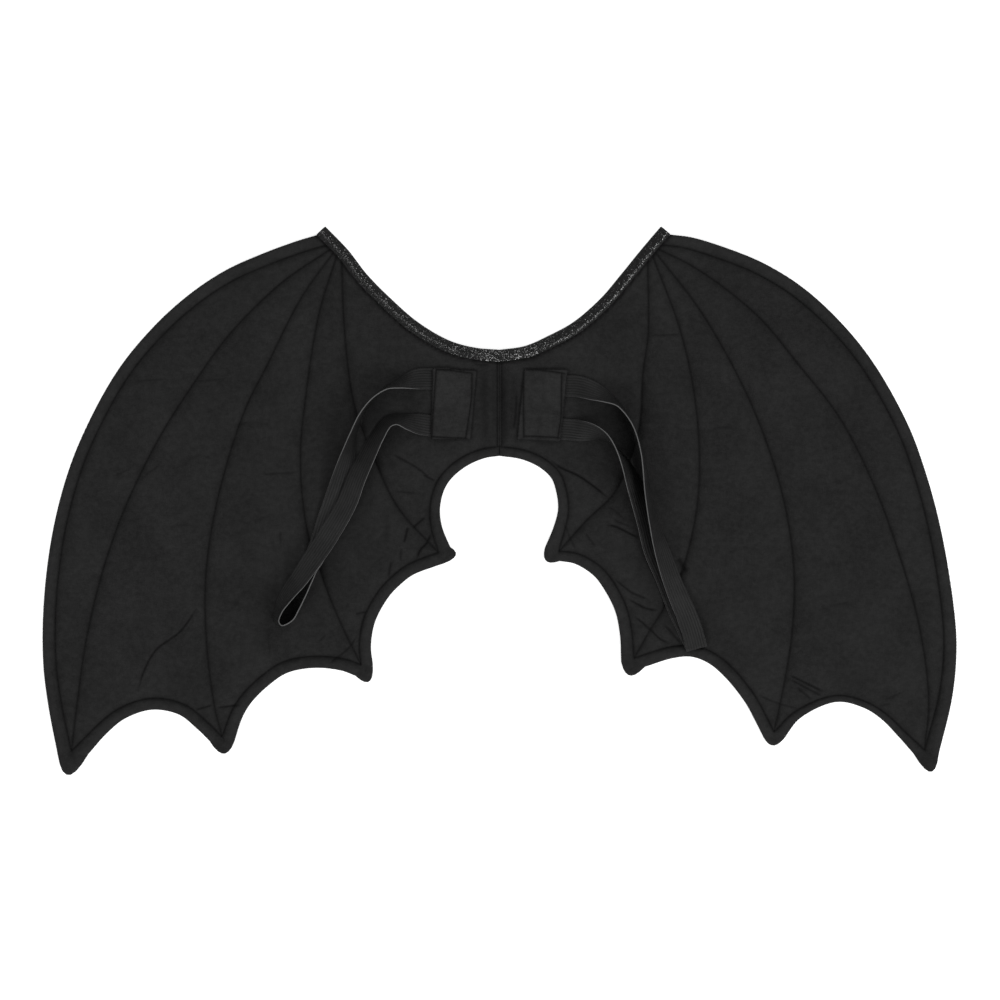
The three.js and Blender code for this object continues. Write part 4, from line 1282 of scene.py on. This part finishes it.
def felt_finish(name, tone, seam_shade):
    """Black craft felt: matted fibres, faint blotches, painted shade along its stitching, in its creases
    and at its edges, and a painted highlight along the rim.
    """
    felt = Finish(name, 0.95, 0.1)
    spot = felt.place()
    blotches = felt.range(felt.noise(spot, 22, 4, 0.6), 0.32, 0.68)
    clumps = felt.range(felt.noise(felt.place((0.85, 1, 1)), 190, 4, 0.65), 0.32, 0.68)
    matted = felt.noise(spot, 900, 3, 0.7)
    strands = felt.noise(felt.place((1, 0.16, 1), 0.6), 1500, 2, 0.6)
    crossing = felt.noise(felt.place((0.16, 1, 1), 0.3), 1300, 2, 0.6)
    fibres = felt.range(strands * 0.5 + crossing * 0.5, 0.35, 0.65)
    tones = 0.3 * blotches + 0.36 * clumps + 0.34 * fibres
    colour = felt.blend(tones, grey(tone * 0.6), grey(tone * 1.44))
    # Painted shade along the stitching, in the creases and at the edges
    painted_shade = 1 - (1 - felt.given("stitch_shade") * seam_shade) * (1 - felt.given("crease_and_edge_shade") * 0.9)
    # A painted highlight along the middle of the rim
    highlighted = felt.blend(felt.given("rim_highlight") * 0.3, colour, grey(tone * 1.7))
    felt.set("Base Color", felt.blend(painted_shade, highlighted, grey(tone * 0.2)))
    felt.set("Roughness", felt.range(matted, 0.3, 0.7, 0.86, 0.99))
    felt.bump(matted * 0.5 + fibres * 0.3 + clumps * 0.2, 0.0004)
    return felt.material


def glitter_finish():
    """Glitter cloth: dark woven ground with small foil flakes that lie at all angles, crowded along the
    ridge as a painted highlight.
    """
    cloth = Finish("glitter cloth", 0.5, 0.12)
    spot = cloth.place()
    weave = cloth.range(cloth.noise(spot, 400, 4, 0.7), 0.3, 0.7)
    cells = cloth.node("TexVoronoi", {}, {"Vector": spot, "Scale": 1700}, "Color")
    chance = cloth.node("SeparateColor", {}, {"Color": cells}, 0)
    crowd = cloth.range(cloth.noise(spot, 300, 3, 0.6), 0.42, 0.62)
    # Extra flakes along the ridge are a painted highlight
    flake = cloth.range(chance + crowd * 0.04 + cloth.given("ridge") * 0.36, 0.96, 1.0)
    colour = cloth.blend(weave, grey(0.0035), grey(0.0115))
    cloth.set("Base Color", cloth.blend(flake, colour, grey(0.115)))
    cloth.set("Metallic", flake * 0.9)
    cloth.set("Roughness", cloth.range(flake, 0, 1, 0.62, 0.32))
    turned = {0: cells, 1: (0.7, 0.7, 0), 2: (-0.35, -0.35, 0)}
    tilt = cloth.node("VectorMath", {"operation": "MULTIPLY_ADD"}, turned)
    normal = cloth.node("NewGeometry", {}, {}, "Normal")
    tilted = cloth.node("VectorMath", {"operation": "ADD"}, {0: normal, 1: tilt})
    cloth.set("Normal", cloth.node("VectorMath", {"operation": "NORMALIZE"}, {0: tilted}))
    return cloth.material


def elastic_finish():
    """Ribbed woven elastic with paler edges, darker in its rib valleys: partly its weave, partly painted
    shade.
    """
    elastic = Finish("elastic", 0.55, 0.15)
    spot = elastic.place()
    pick_turn = elastic.given("along") * (2 * math.pi / STRAP_PICK)
    rib_turn = elastic.given("across") * (2 * math.pi * STRAP_RIBS / STRAP_WIDTH)
    picks = elastic.node("Math", {"operation": "SINE"}, {0: pick_turn})
    ribs = elastic.node("Math", {"operation": "COSINE"}, {0: rib_turn})
    speckle = elastic.noise(spot, 1400, 2, 0.6)
    wear = elastic.range(elastic.noise(spot, 60, 3, 0.6), 0.3, 0.7)
    # The ribs are darker in their valleys: partly the weave, partly painted shade
    tones = 0.33 - 0.28 * ribs + 0.08 * picks + 0.2 * speckle + 0.25 * wear
    colour = elastic.blend(elastic.range(tones, 0, 1), grey(0.0035), grey(0.0155))
    edge = elastic.range(elastic.given("selvedge"), 0.2, 0.9)
    elastic.set("Base Color", elastic.blend(edge, colour, grey(0.095)))
    elastic.set("Roughness", elastic.range(speckle, 0.3, 0.7, 0.48, 0.62))
    elastic.bump(0.5 * picks + 0.5 * speckle, 0.0002)
    return elastic.material


def thread_finish():
    """Twisted black sewing thread."""
    thread = Finish("sewing thread", 0.8, 0.05)
    twist = thread.noise(thread.place(), 2600, 2, 0.5)
    thread.set("Base Color", thread.blend(twist, grey(0.002), grey(0.008)))
    thread.set("Roughness", thread.range(twist, 0.3, 0.7, 0.7, 0.9))
    return thread.material


def dress(piece, material, slot, *nodes):
    """Gives a piece its material, hangs it from the root and hides the solids that it stands for."""
    piece.data.materials.append(material)
    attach(piece, "root")
    if nodes:
        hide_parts(*nodes)


def build_stage():
    """A plain pale floor, low softboxes at the corners, soft light all round, and the camera."""
    bpy.ops.object.select_all(action="DESELECT")
    bpy.ops.mesh.primitive_plane_add(size=FLOOR_SIZE, location=(0, 0, cad_low.z))
    floor = bpy.context.object
    floor.name = "floor"
    paper = Finish("floor paper", 0.9, 0.1, Emission_Color=grey(1), Emission_Strength=FLOOR_GLOW)
    paper.set("Base Color", paper.blend(paper.noise(paper.place(), 30, 2), grey(0.9), grey(0.94)))
    floor.data.materials.append(paper.material)

    world = bpy.data.worlds.new("studio")
    world.use_nodes = True
    world.node_tree.nodes["Background"].inputs["Color"].default_value = grey(1)
    world.node_tree.nodes["Background"].inputs["Strength"].default_value = ROOM_LIGHT
    bpy.context.scene.world = world
    for name, location, size, power in LIGHTS:
        light = bpy.data.lights.new(name, "AREA")
        light.shape = "DISK"
        light.size = size
        light.energy = power
        lamp = bpy.data.objects.new(name, light)
        lamp.location = location
        lamp.rotation_euler = (-Vector(location)).to_track_quat("-Z", "Y").to_euler()
        bpy.context.scene.collection.objects.link(lamp)

    camera = bpy.data.objects.new("camera", bpy.data.cameras.new("camera"))
    camera.data.lens = LENS
    camera.data.sensor_width = SENSOR
    camera.location = (*VIEW_CENTRE, FIELD_TOP + VIEW_WIDTH * LENS / SENSOR)
    bpy.context.scene.collection.objects.link(camera)
    bpy.context.scene.camera = camera
    bpy.context.scene.view_settings.view_transform = "Standard"
    bpy.context.scene.view_settings.look = "None"


build_stage()
wing_felt = felt_finish("wing felt", 0.0128, 0.7)
patch_felt = felt_finish("patch felt", 0.016, 0.85)
sewing_thread = thread_finish()
strap_elastic = elastic_finish()
ground = strap_ground()
for side in SIDES:
    wing, sewn = build_wing(side, ground)
    dress(wing, wing_felt, "wing_felt", f"wing_{side}")
    wing_surface = surface_tree(wing)
    wing_thread = sew(f"wing_stitches_{side}", sewn, [(wing_surface, -1), (wing_surface, 1)])
    dress(wing_thread, sewing_thread, "wing_felt")

    patch, box_stitches = build_patch(side)
    dress(patch, patch_felt, "patch_felt", f"strap_patch_{side}")
    patch_size(side)
    patch_thread = sew(f"patch_stitches_{side}", box_stitches, [(surface_tree(patch), -1)])
    dress(patch_thread, sewing_thread, "patch_felt")

    strap, strap_length = build_strap(side)
    dress(strap, strap_elastic, "elastic", f"strap_{side}")

binding, binding_length = build_binding()
dress(binding, glitter_finish(), "glitter_binding", "neck_binding")
